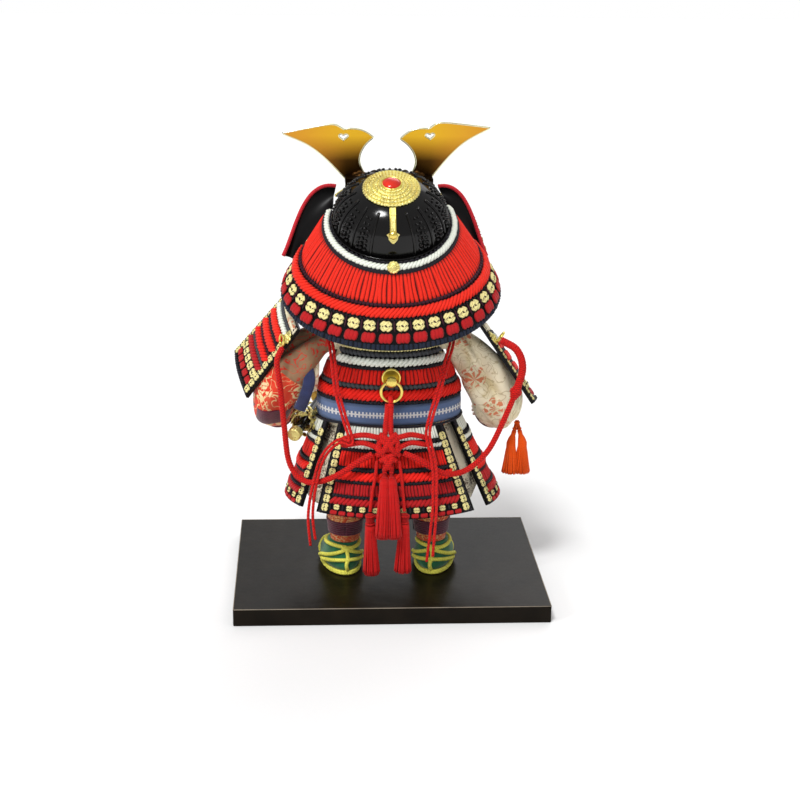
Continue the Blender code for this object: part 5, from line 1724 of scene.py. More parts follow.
@dataclass
class ShoulderGuards:
    """The two hanging shoulder guards with their cord rings."""

    corners: dict[str, tuple] = field(default_factory=lambda: {
        "left": ((63.5, 20.5, 193.5), (69.5, -27.0, 211.0), (100.8, 8.0, 140.6), (110.0, -30.0, 164.0), 25.0),
        "right": ((-62.5, 18.0, 196.0), (-68.5, -27.0, 183.5), (-100.5, 24.0, 140.4),
                  (-106.5, -23.0, 127.5), 70.0)})

    def rows(self) -> list[Row]:
        """List the rows of silk from the top down."""
        kind = RowKind
        return [
            Row(kind.TWIST, 0.105, 0.142, GREY, 2.8, 0.9, -1.0),
            Row(kind.TWIST, 0.148, 0.218, WHITE, 3.1, 1.4),
            Row(kind.TWIST, 0.225, 0.327, RED, 3.1, 1.6),
            Row(kind.TWIST, 0.333, 0.363, BLACK, 2.8, 1.0, -1.0),
            Row(kind.TWIST, 0.37, 0.475, RED, 3.1, 1.6),
            Row(kind.TWIST, 0.48, 0.508, PLUM, 2.6, 0.9, -1.0),
            Row(kind.TWIST, 0.513, 0.607, RED_LOW, 3.1, 1.6),
            Row(kind.TWIST, 0.612, 0.642, GREY, 2.8, 1.0, -1.0),
            Row(kind.TWIST, 0.648, 0.735, CRIMSON, 3.1, 1.5),
            Row(kind.KNOTS, 0.745, 0.835, CREAM, 7.6, 0.9),
            Row(kind.PADS, 0.848, 0.935, CRIMSON, 7.6, 0.9),
            Row(kind.TWIST, 0.955, 0.99, BLACK, 2.4, 0.9),
        ]

    def guard(self, name: str, side: float) -> None:
        """Make one guard with its lacing, ring and gold fitting."""
        rear_top, front_top, rear_low, front_low, stand = self.corners[name]

        def surface(across: float, along: float) -> Vector:
            """Give a point on the guard, across from its rear edge to its front edge."""
            top = Vector(rear_top).lerp(Vector(front_top), across)
            low = Vector(rear_low).lerp(Vector(front_low), across)
            bulge = 3.0 * math.sin(math.pi * across)
            return top.lerp(low, along) + Vector((side * 0.78, 0.0, 0.62)) * bulge

        span = (-1.2, 0.9) if side > 0.0 else (1.2, -0.9)
        slab(surface, steps(0.0, 1.0, 16), steps(0.0, 1.0, 24), *span).piece(
            f"shoulder_guard_{name}_plate", PLATE_LACQUER, [f"shoulder_guard_{name}"], sharp=50.0)
        laced = LacedPlate(f"shoulder_guard_{name}", surface, (0.06, 0.96), [(0.0, 0.0), (1.0, 0.0)],
                           self.rows(), 0.9, side, edges=True)
        laced.build(SILKS)
        cap = (0.9, 1.5) if side > 0.0 else (-0.9, -1.5)
        slab(surface, steps(0.02, 0.98, 16), steps(0.01, 0.095, 5), *cap).piece(
            f"shoulder_cap_{name}", CREAM_BROCADE)
        out = surface_normal(surface, 0.05, 0.22) * side
        down = (surface(0.05, 0.23) - surface(0.05, 0.22)).normalized()
        tilt = math.radians(stand)
        ring_radius = 4.0
        reach = 1.2 + 0.6 + 0.3 + 0.75 + ring_radius * math.sin(tilt)
        axis = out * math.cos(tilt) + down * math.sin(tilt)
        centre = surface(0.05, 0.22) + out * reach
        first = axis.orthogonal().normalized()
        second = axis.cross(first)
        ring = ring_path(centre, first * ring_radius, second * ring_radius, 40)
        corded(f"guard_ring_{name}_gold", GOLD, [ring], 0.8, 10, nodes=[f"guard_ring_{name}"])
        seat_frame = standing(surface(0.07, 0.18) + out * 1.2, out)
        profile = ((0.0, 0.0), (4.8, 0.0), (4.9, 0.9), (3.8, 1.3), (3.2, 1.2), (2.2, 2.1), (1.6, 2.6),
                   (0.0, 2.9))
        turned(profile, seat_frame, 48, 8, 0.2).piece(f"guard_fitting_{name}", CHASED)

    def build(self) -> None:
        """Make both guards."""
        for name, side in SIDES:
            self.guard(name, side)
        log.info("shoulder guards made")


@dataclass
class BodyArmour:
    """The laced body armour, its borders and the belt below it."""

    table: Sequence[tuple[float, float, float]] = (
        (143.0, 50.3, 33.0), (155.0, 47.0, 32.4), (168.0, 42.2, 31.6), (180.0, 38.6, 31.0),
        (188.0, 36.4, 30.2))
    low: float = 143.0
    high: float = 188.0

    def point(self, across: float, along: float) -> Vector:
        """Give a point on the armour, across from the back to the left, along from the top down."""
        z = self.high + (self.low - self.high) * along
        half_x, half_y = between(self.table, z)
        return Vector((half_x * math.sin(across), half_y * math.cos(across), z))

    def share(self, z: float) -> float:
        """Turn a height into a place along the armour."""
        return (self.high - z) / (self.high - self.low)

    def rows(self, upper: bool) -> list[Row]:
        """List the rows that run all round, or the upper rows between the armholes."""
        kind = RowKind
        at = self.share
        if upper:
            return [Row(kind.TWIST, at(183.5), at(180.4), CREAM, 2.2, 0.9),
                    Row(kind.TWIST, at(179.6), at(176.4), GREY, 3.3, 1.2, -1.0),
                    Row(kind.TWIST, at(175.4), at(169.8), WHITE, 3.3, 1.5),
                    Row(kind.TWIST, at(168.9), at(167.2), BLACK, 2.2, 0.8)]
        return [Row(kind.CORDS, at(166.9), at(156.6), RED_LOW, 2.5, 1.0),
                Row(kind.TWIST, at(156.3), at(153.4), GREY, 3.4, 1.1, -1.0),
                Row(kind.TWIST, at(153.0), at(145.2), RED_LOW, 3.3, 1.6),
                Row(kind.TWIST, at(144.8), at(143.2), BLACK, 2.4, 0.8)]

    def belt(self) -> None:
        """Make the woven belt with its ladder line."""
        section = ((127.2, -1.0), (127.5, -0.2), (128.4, 0.2), (131.0, 0.35), (134.8, 0.45),
                   (138.6, 0.35), (141.3, 0.2), (142.2, -0.2), (142.5, -1.0))
        angles = turn_angles(120)
        rows = [oval(51.3 + out, 33.8 + out, z, angles) for z, out in section]
        inner = [oval(47.4, 30.0, z, angles) for z in (142.5, 127.2)]
        shape = Shape()
        shape.grid(rows + inner + [rows[0]], closed=True)
        for index, face in enumerate(shape.faces):
            corners = [shape.points[corner] for corner in face]
            angles = [math.atan2(point.x, point.y) for point in corners]
            if max(angles) - min(angles) > math.pi:
                angles = [angle + 2.0 * math.pi if angle < 0.0 else angle for angle in angles]
            shape.uvs[index] = tuple((angle * 43.0, point.z - 134.85)
                                     for angle, point in zip(angles, corners))
        shape.piece("belt_weave", BELT, ["belt"])
        cord = Shape()
        path = [Vector((52.2 * math.sin(angle), 34.7 * math.cos(angle), 126.9 + 0.5 * math.sin(3.0 * angle)))
                for angle in turn_angles(180, True)]
        cord.tube(path, 0.9, 8, 3, 4.0, 0.18)
        cord.piece("belt_cord", BLACK)

    def build(self) -> None:
        """Lace the armour and add the belt."""
        cover("cuirass", PLATE_LACQUER)
        ridges = [(self.share(z), ridge) for z, ridge in (
            (188.0, 0.0), (176.0, 0.0), (175.0, 0.6), (170.2, 0.6), (168.4, 0.0), (166.8, 0.8), (156.6, 0.8),
            (155.6, 0.0), (154.0, 0.0), (153.0, 0.7), (144.0, 0.7), (143.0, 0.0))]
        for name, reach in (("armour_back", (-1.1, 1.1)), ("armour_front", (math.pi - 1.1, math.pi + 1.1))):
            LacedPlate(name, self.point, reach, ridges, self.rows(True), 0.0).build(SILKS)
        whole = (-math.pi, math.pi)
        LacedPlate("armour_round", self.point, whole, ridges, self.rows(False), 0.0).build(SILKS)
        self.belt()
        log.info("body armour made")


@dataclass
class Skirt:
    """The flared skirt of four laced panels."""

    top: float = 126.5
    bottom: float = 66.0
    top_size: tuple[float, float] = (50.5, 33.0)
    bottom_size: tuple[float, float] = (77.0, 56.0)
    shift: float = -3.5

    def point(self, across: float, along: float) -> Vector:
        """Give a point on the skirt, across from the back to the left."""
        half_x = self.top_size[0] + (self.bottom_size[0] - self.top_size[0]) * along
        half_y = self.top_size[1] + (self.bottom_size[1] - self.top_size[1]) * along
        z = self.top + (self.bottom - self.top) * along
        return Vector((half_x * math.sin(across) + self.shift * along, half_y * math.cos(across), z))

    def rows(self) -> list[Row]:
        """List the rows of silk from the belt down."""
        kind = RowKind
        return [
            Row(kind.CORDS, 0.0, 0.155, WHITE, 2.1, 0.8),
            Row(kind.BEADS, 0.165, 0.2, BLACK, 3.2, 1.2),
            Row(kind.TWIST, 0.21, 0.25, WHITE, 2.4, 1.0),
            Row(kind.TWIST, 0.26, 0.28, BLACK, 2.2, 0.8),
            Row(kind.CORDS, 0.29, 0.455, RED_LOW, 2.2, 0.9),
            Row(kind.TWIST, 0.465, 0.5, BLACK, 2.4, 1.0),
            Row(kind.TWIST, 0.508, 0.605, RED_LOW, 3.2, 1.5),
            Row(kind.TWIST, 0.61, 0.63, BLACK, 2.2, 0.8),
            Row(kind.CORDS, 0.64, 0.765, CRIMSON, 2.2, 0.9),
            Row(kind.TWIST, 0.77, 0.795, BLACK, 2.4, 1.0),
            Row(kind.TWIST, 0.8, 0.875, CRIMSON, 3.2, 1.4),
            Row(kind.KNOTS, 0.88, 0.938, CREAM, 9.4, 0.9),
            Row(kind.PADS, 0.945, 0.995, CRIMSON, 6.6, 0.9),
        ]

    def build(self) -> None:
        """Make and lace the four panels."""
        for name, middle, half in (("back", 0.0, 46.0), ("left", 91.0, 32.0), ("front", 180.0, 46.0),
                                   ("right", 269.0, 32.0)):
            first = math.radians(middle - half)
            last = math.radians(middle + half)
            slab(self.point, steps(last, first, 30), steps(0.0, 1.0, 20), -1.2, 0.9).piece(
                f"skirt_{name}_plate", PLATE_LACQUER, [f"skirt_{name}"], sharp=50.0)
            inset = (last - first) * 0.03
            LacedPlate(f"skirt_{name}", self.point, (first + inset, last - inset), [(0.0, 0.2), (1.0, 0.2)],
                       self.rows(), 0.9, edges=True).build(SILKS)
        log.info("skirt made")


# ---------------------------------------------------------------- helmet

def bowl_factor(height: float) -> float:
    """How wide the bowl is at a height above its rim, against its width at the rim."""
    share = min(1.0, max(0.0, height / BOWL_HEIGHT))
    return (1.0 - share ** BOWL_POWER) ** (1.0 / BOWL_POWER)


def bowl_point(across: float, along: float) -> Vector:
    """Give a point on the bowl, across from the back to the left, along from the crown down."""
    height = BOWL_HEIGHT * math.cos(0.5 * math.pi * along)
    factor = bowl_factor(height)
    return HELMET @ Vector((BOWL_HALF_WIDTH * factor * math.sin(across),
                            BOWL_HALF_LENGTH * factor * math.cos(across), height))


def rim_path(half_x: float, half_y: float, rise: float, reach: float, count: int = 160) -> list[Vector]:
    """Follow an oval round the bowl's rim, from the right over the back to the left."""
    return [HELMET @ Vector((half_x * math.sin(angle), half_y * math.cos(angle), rise))
            for angle in steps(-reach, reach, count)]


@dataclass
class Helmet:
    """The ribbed bowl with its rim cords, brim, crown plate, strip and horns."""

    ribs: int = 16
    panel: float = math.radians(20.0)
    petals: Sequence[tuple[float, float, float, int]] = (
        (20.2, 31.4, 32.4, 48), (17.6, 32.2, 33.2, 42), (14.6, 32.9, 34.0, 36), (11.8, 33.7, 34.8, 30),
        (9.0, 34.5, 35.4, 24))

    def bowl(self) -> None:
        """Make the lacquered bowl, its ribs and its studs."""
        up = HELMET.to_3x3() @ UP
        heart = HELMET @ Vector((0.0, 0.0, 8.0))
        rows = []
        angles = turn_angles(96)
        for along in steps(0.05, 0.94, 22):
            rows.append([bowl_point(angle, along) for angle in angles])
        for half_x, half_y, rise in (
                (40.1, 41.3, 3.2), (40.6, 42.2, 1.6), (42.0, 45.2, 0.3), (42.2, 45.4, -0.6),
                (42.0, 45.2, -1.5), (36.9, 38.1, -1.5), (36.8, 38.0, 4.0), (34.5, 35.8, 16.0),
                (26.0, 27.0, 24.5), (10.0, 10.5, 30.0)):
            rows.append([HELMET @ point for point in oval(half_x, half_y, rise, angles)])
        shape = Shape()
        shape.grid(rows, closed=True, caps=True)
        shape.piece("helmet_bowl_shell", BLACK_LACQUER, ["helmet_bowl"], sharp=60.0)
        ribs = Shape()
        studs = Strands("helmet_studs", BLACK_LACQUER, True, 0.03)
        for index in range(self.ribs):
            angle = 2.0 * math.pi * index / self.ribs
            if index == 0:
                continue
            path = [bowl_point(angle, along) + (bowl_point(angle, along) - heart).normalized() * 0.1
                    for along in steps(0.34, 0.95, 24)]
            ribs.tube(path, 1.05, 8)
            middle = angle + math.pi / self.ribs
            from_back = min(middle % (2.0 * math.pi), 2.0 * math.pi - middle % (2.0 * math.pi))
            if from_back < self.panel:
                continue
            for place, along in enumerate((0.42, 0.5, 0.58, 0.65, 0.72, 0.79, 0.85)):
                for shift in (-0.075, 0.0, 0.075) if along > 0.5 else (-0.05, 0.05):
                    lower = along + (0.02 if shift else 0.0)
                    normal = surface_normal(bowl_point, middle + shift, lower)
                    centre = bowl_point(middle + shift, lower) + normal * 0.3
                    size = 2.1 + 0.16 * place
                    studs.add(centre, normal, normal.orthogonal(), size, size, size * (1.0 if shift else 1.5))
        ribs.piece("helmet_ribs", BLACK_LACQUER)
        studs.build()
        rim = Shape()
        rim.tube(rim_path(40.9, 42.3, 3.4, math.pi, 200), 0.6, 8, side=up)
        rim.piece("helmet_rim_line", BLACK_LACQUER)

    def cords(self) -> None:
        """Make the beaded black cord, the white rope and the thin black rope round the rim."""
        up = HELMET.to_3x3() @ UP
        reach = math.radians(108.0)
        rope = Shape()
        rope.tube(rim_path(44.0, 47.6, 1.3, reach), 1.4, 12, side=up)
        rope.piece("rim_rope_core", WHITE, ["rim_braid"])
        thin = Shape()
        thin.tube(even_points(rim_path(46.5, 50.2, -0.4, reach), 0.5), 0.95, 12, 2, 4.4, 0.3, side=up)
        thin.piece("rim_black_rope", BLACK)
        rope_line = even_points(rim_path(44.0, 47.6, 1.3, reach), 2.9)
        lean_up = Vector((0.0, 0.0, 1.3))
        for point, after in zip(rope_line, rope_line[1:]):
            local = HELMET.inverted() @ point
            facing = (HELMET.to_3x3() @ (Vector((local.x, local.y, 0.0)).normalized() + lean_up)).normalized()
            way = (after - point).normalized()
            run = (way + facing.cross(way) * 0.75).normalized()
            SILKS.of("rim_rope", WHITE, False).add(point + facing * 0.75, facing, run, 6.6, 2.9, 3.4)
        chain = even_points(rim_path(42.0, 44.6, 2.6, reach), 2.0)
        for index, (point, after) in enumerate(zip(chain, chain[1:])):
            local = HELMET.inverted() @ point
            facing = (HELMET.to_3x3() @ (Vector((local.x, local.y, 0.0)).normalized() + lean_up)).normalized()
            way = (after - point).normalized()
            run = (way + facing.cross(way) * (0.7 if index % 2 else -0.7)).normalized()
            SILKS.of("rim_chain", BLACK, False).add(point, facing, run, 3.4, 1.5, 2.2)

    def brim(self) -> None:
        """Make the visor over the face with its gilt edge."""

        def visor(across: float, along: float) -> Vector:
            """Give a point on the visor, along from the bowl out."""
            half_x = 43.2 + 9.0 * along
            half_y = 46.8 + 13.0 * along * math.cos(across * 0.7)
            return HELMET @ Vector((half_x * math.sin(across), -half_y * math.cos(across),
                                    -0.6 - 5.0 * along))

        reach = math.radians(46.0)
        slab(visor, steps(-reach, reach, 48), steps(0.0, 1.0, 10), -0.9, 0.9).piece(
            "brim_shell", BLACK_LACQUER, ["brim"], sharp=50.0)
        highlight_edge = Shape()
        highlight_edge.tube([visor(across, 0.985) for across in steps(-reach, reach, 60)], 1.15, 12)
        highlight_edge.piece("brim_gilt_edge", GOLD)

    def crown(self) -> None:
        """Make the tiered crown plate, the stone, the back strip and the rim boss."""
        beads = Strands("crown_beads", GOLD, True, 0.02)
        up = HELMET.to_3x3() @ UP
        plate = Shape()
        for radius, low, high, petals in self.petals:
            profile = ((0.0, low - 0.6), (radius - 0.6, low - 0.6), (radius, low), (radius - 0.2, low + 0.5),
                       (radius - 1.2, high), (radius - 3.0, high - 0.3), (0.0, high - 0.3))
            plate.join(turned(profile, HELMET, 240, petals, 0.04))
            halfway = [2.0 * math.pi * (step + 0.5) / petals for step in range(petals)]
            for centre in oval(radius - 1.9, radius - 1.9, high, halfway):
                beads.add(HELMET @ centre, up, up.orthogonal(), 1.15, 1.15, 1.1)
        plate.piece("crown_plate", CHASED, ["rosette"])
        beads.build()
        stone = 6.2
        dome = [(stone * math.cos(turn), 35.7 + 2.2 * math.sin(turn))
                for turn in steps(0.0, 0.5 * math.pi, 10)]
        turned([(0.0, 35.5), (stone, 35.5)] + dome, HELMET, 40).piece("crown_stone", RED_STONE, ["gem"])
        collar = [HELMET @ point for point in oval(stone + 0.6, stone + 0.6, 35.7, turn_angles(48, True))]
        corded("crown_collar", GOLD, [collar], 0.75, 8)
        self.strip()
        place = HELMET @ Matrix.Translation((0.0, 49.15, 2.75)) @ Matrix.Rotation(math.radians(-50.0), 4, "X")
        profile = ((0.0, 0.0), (4.3, 0.0), (4.4, 0.7), (3.6, 1.4), (3.2, 1.0), (2.3, 1.2), (1.7, 2.0),
                   (0.0, 2.3))
        turned(profile, place, 72, 12, 0.08).piece("rim_boss", CHASED, ["guard_boss"])

    def strip(self) -> None:
        """Make the gold arrow that runs down the bowl's smooth back."""
        levels = (30.2, 29.5, 27.3, 25.0, 22.0, 20.6, 19.4, 18.4, 16.8, 14.4)
        widths = (2.1, 2.1, 2.1, 2.1, 2.1, 2.2, 4.4, 3.2, 2.9, 0.5)

        def surface(across: float, along: float) -> Vector:
            """Give a point on the strip, along from the crown down."""
            place = min(max(along, 0.0), 1.0) * (len(levels) - 1)
            height, width = between([(index, level, half) for index, (level, half) in
                                     enumerate(zip(levels, widths))], place)
            factor = bowl_factor(height)
            angle = across * width / (BOWL_HALF_WIDTH * factor)
            return HELMET @ Vector((BOWL_HALF_WIDTH * factor * math.sin(angle),
                                    BOWL_HALF_LENGTH * factor * math.cos(angle), height))

        made = slab(surface, steps(-1.0, 1.0, 9), steps(0.0, 1.0, 46), 0.2, 1.0,
                    lambda across, along: 0.35 * abs(across) ** 3)
        made.piece("back_strip_gold", CHASED, ["back_strip"], sharp=60.0)
        highlight_edge = Shape()
        places = steps(0.0, 0.52, 24)
        lifts = [surface_normal(surface, 0.0, min(0.98, max(0.02, along))) * 1.25 for along in places]
        for side in (-1.0, 1.0):
            highlight_edge.tube([surface(side * 0.86, along) + lift for along, lift in zip(places, lifts)], 0.4, 6)
        centre = surface(0.0, 0.68)
        normal = surface_normal(surface, 0.0, 0.68)
        profile = ((0.0, 0.0), (2.9, 0.0), (3.0, 0.6), (2.0, 1.0), (1.4, 1.5), (0.0, 1.8))
        highlight_edge.join(turned(profile, standing(centre + normal * 0.9, normal), 40, 8, 0.12))
        highlight_edge.piece("back_strip_trim", GOLD)

    def horn(self, name: str, side: float) -> None:
        """Cut one horn blade with its heart-shaped piercing from plate, and rim its edges with a painted
        highlight.
        """
        outline = []
        for part in ([(28.5, 286.4), (36.0, 294.5), (46.5, 304.8), (58.0, 313.2), (75.1, 320.7)],
                     [(75.1, 320.7), (57.0, 324.4), (43.0, 326.9), (37.0, 326.6), (31.8, 323.6)],
                     [(31.8, 323.6), (26.5, 324.2), (20.0, 323.5), (14.5, 321.0), (11.0, 318.2)],
                     [(11.0, 318.2), (16.5, 313.0), (20.2, 306.0), (20.2, 298.5), (15.6, 289.5),
                      (14.3, 286.4)]):
            outline += smooth_points([(x, 0.0, z) for x, z in part], 1.4)[:-1]
        outline.append(Vector((14.3, 0.0, 286.4)))
        heart = []
        for angle in turn_angles(36):
            x = 16.0 * math.sin(angle) ** 3
            z = (13.0 * math.cos(angle) - 5.0 * math.cos(2.0 * angle) - 2.0 * math.cos(3.0 * angle)
                 - math.cos(4.0 * angle))
            heart.append(Vector((32.0 + x * 0.22, 0.0, 318.6 + z * 0.17)))
        data = bpy.data.curves.new(f"horn_{name}", "CURVE")
        data.dimensions = "2D"
        data.fill_mode = "BOTH"
        data.extrude = 0.35 * MM
        data.bevel_depth = 0.25 * MM
        data.bevel_resolution = 2
        data.offset = -0.25 * MM
        for loop in (outline, heart):
            spline = data.splines.new("POLY")
            spline.use_cyclic_u = True
            spline.points.add(len(loop) - 1)
            for slot, point in zip(spline.points, loop):
                slot.co = (point.x * MM, point.z * MM, 0.0, 1.0)
        curve = placed(f"horn_{name}_outline", data)
        mesh = worked_out(curve)
        bpy.data.objects.remove(curve, do_unlink=True)
        pivot = Vector((21.5, -42.0, 288.0)) * MM
        outward = Matrix.Translation((0.0, pivot.y, 0.0))
        lift = math.radians(0.0 if side > 0.0 else -5.0)
        stand = outward @ Matrix.Rotation(math.radians(90.0), 4, "X")
        lean = (Matrix.Translation(pivot) @ Matrix.Rotation(math.radians(-3.0), 4, "X")
                @ Matrix.Rotation(lift, 4, "Y") @ Matrix.Translation(-pivot))
        mirror = Matrix.Diagonal((side, 1.0, 1.0, 1.0))
        mesh.transform(mirror @ lean @ stand)
        close_up(mesh, 1e-7)
        mesh.materials.clear()
        mesh.materials.append(HORN_PAINTED_LIGHT.material())
        seat(placed(f"horn_{name}_blade", mesh), [f"horn_{name}"])
        # The pale rims round the blade and its piercing are a painted highlight of their lit edges.
        loops = [[mirror @ lean @ outward @ (point * MM) / MM for point in loop + loop[:1]]
                 for loop in (outline, heart)]
        corded(f"horn_{name}_edge", HIGHLIGHT_GILT, [even_points(loop, 1.0) for loop in loops], 0.74, 8)
        socket = (Matrix.Translation((side * 20.5, -39.2, 288.0))
                  @ Matrix.Rotation(math.radians(-88.0), 4, "X"))
        profile = ((0.0, -1.5), (6.6, -1.5), (7.0, -0.4), (5.6, 0.8), (5.0, 0.4), (3.4, 1.4), (1.8, 2.6),
                   (0.0, 2.9))
        turned(profile, socket, 48, 8, 0.14).piece(f"horn_socket_{name}", BRONZE)

    def build(self) -> None:
        """Make the whole helmet."""
        self.bowl()
        self.cords()
        self.brim()
        self.crown()
        for name, side in SIDES:
            self.horn(name, side)
        cover("horn_base", BRONZE)
        cover("helmet_pad", PAPER)
        log.info("helmet made")


# ---------------------------------------------------------------- head, arms and legs

def head_factor(z: float) -> float:
    """How wide the head is at a height, against its widest."""
    rise = z - HEAD_CENTRE.z
    power = 2.5 if rise < 0.0 else 2.1
    return max(0.0, 1.0 - (min(1.0, abs(rise) / HEAD_SIZE.z)) ** power) ** (1.0 / power)


@dataclass
class Head:
    """The calm doll's head with its painted features and combed hair."""

    bumps: Sequence[tuple[float, float, float, float, float]] = (
        (0.0, 226.5, 3.0, 0.085, 3.0), (0.0, 232.0, 1.2, 0.06, 4.5), (0.32, 232.5, -1.1, 0.14, 3.2),
        (0.5, 221.0, 0.9, 0.25, 7.0), (0.0, 217.2, 1.0, 0.12, 1.5), (0.0, 213.6, -0.5, 0.16, 1.4),
        (0.0, 208.0, 1.8, 0.24, 4.0), (0.3, 238.5, 0.5, 0.2, 2.2))

    def point(self, across: float, z: float, lift: float = 0.0) -> Vector:
        """Give a point on the face: across is the angle from the front toward the left."""
        size = head_factor(z)
        extra = lift
        for centre, height, rise, wide, tall in self.bumps:
            for side in ((1.0,) if centre == 0.0 else (1.0, -1.0)):
                extra += rise * math.exp(-((across - side * centre) / wide) ** 2 - ((z - height) / tall) ** 2)
        return Vector(((HEAD_SIZE.x * size + extra) * math.sin(across),
                       HEAD_CENTRE.y - (HEAD_SIZE.y * size + extra) * math.cos(across), z))

    def line(self, points: Sequence[tuple[float, float]], lift: float) -> list[Vector]:
        """Draw a smooth line on the face through (across, height) points."""
        flat = smooth_points([(across * 40.0, 0.0, z) for across, z in points], 0.6)
        return [self.point(point.x / 40.0, point.z, lift) for point in flat]

    def build(self) -> None:
        """Make the head and neck, features and hair."""
        angles = [angle - math.pi for angle in turn_angles(96)]
        rows = []
        for radius, z, y in ((7.0, 182.2, -4.0), (7.0, 193.0, -4.0), (11.3, 194.5, -4.0),
                             (11.6, 198.0, -4.4)):
            rows.append(oval(radius, -radius, z, angles, y=y))
        for z in steps(201.0, 275.3, 62):
            rows.append([self.point(angle, z) for angle in angles])
        shape = Shape()
        shape.grid(rows, closed=True, caps=True)
        shape.piece("head_shell", SKIN, ["head"])
        brows = Shape()
        lashes = Shape()
        eyes = Strands("eyes", EYE, True, 0.0)
        for side in (-1.0, 1.0):
            brow = self.line([(side * 0.16, 240.3), (side * 0.3, 241.9), (side * 0.46, 240.9)], 0.1)
            brows.tube(brow, [0.25 + 0.45 * math.sin(math.pi * share)
                              for share in steps(0.0, 1.0, len(brow))], 8)
            lash = self.line([(side * 0.2, 231.9), (side * 0.31, 233.6), (side * 0.45, 232.4)], 0.1)
            lashes.tube(lash, 0.42, 8)
            out = (self.point(side * 0.315, 232.0, 2.0) - self.point(side * 0.315, 232.0)).normalized()
            eyes.add(self.point(side * 0.315, 231.9), out, Vector((1.0, 0.0, 0.0)), 5.0, 2.9, 0.9)
        brows.piece("brows", HAIR)
        lashes.piece("lashes", HAIR)
        eyes.build()
        lips = Shape()
        for z, size in ((218.0, 0.55), (216.6, 0.62)):
            path = self.line([(-0.11, 217.4), (0.0, z), (0.11, 217.4)], 0.05)
            lips.tube(path, [0.15 + size * math.sin(math.pi * share)
                             for share in steps(0.0, 1.0, len(path))], 8)
        lips.piece("lips", LIP)
        self.hair()
        log.info("head made")

    def hair(self) -> None:
        """Comb the hair round the back of the head in fine strands."""
        low = 212.0
        high = 262.0

        def scalp(across: float, along: float) -> Vector:
            """Give a point on the scalp, across from the right over the back to the left."""
            z = high + (low - high) * along
            size = head_factor(z)
            reach = math.radians(152.0 - 44.0 * along) * across
            return Vector((HEAD_SIZE.x * size * math.sin(reach),
                           HEAD_CENTRE.y + HEAD_SIZE.y * size * math.cos(reach), z))

        chance = random.Random(4)
        heights = [chance.uniform(-0.35, 0.25) for _ in range(400)]

        def strand(across: float, along: float) -> float:
            """Give the height of the strand at a place."""
            return heights[int((across + 1.0) * 99.0)] + 0.15 * math.sin(9.0 * along + 40.0 * across)

        slab(scalp, steps(-1.0, 1.0, 180), steps(0.0, 1.0, 24), 1.0, 2.8, strand).piece(
            "hair_strands", HAIR, ["hair"])


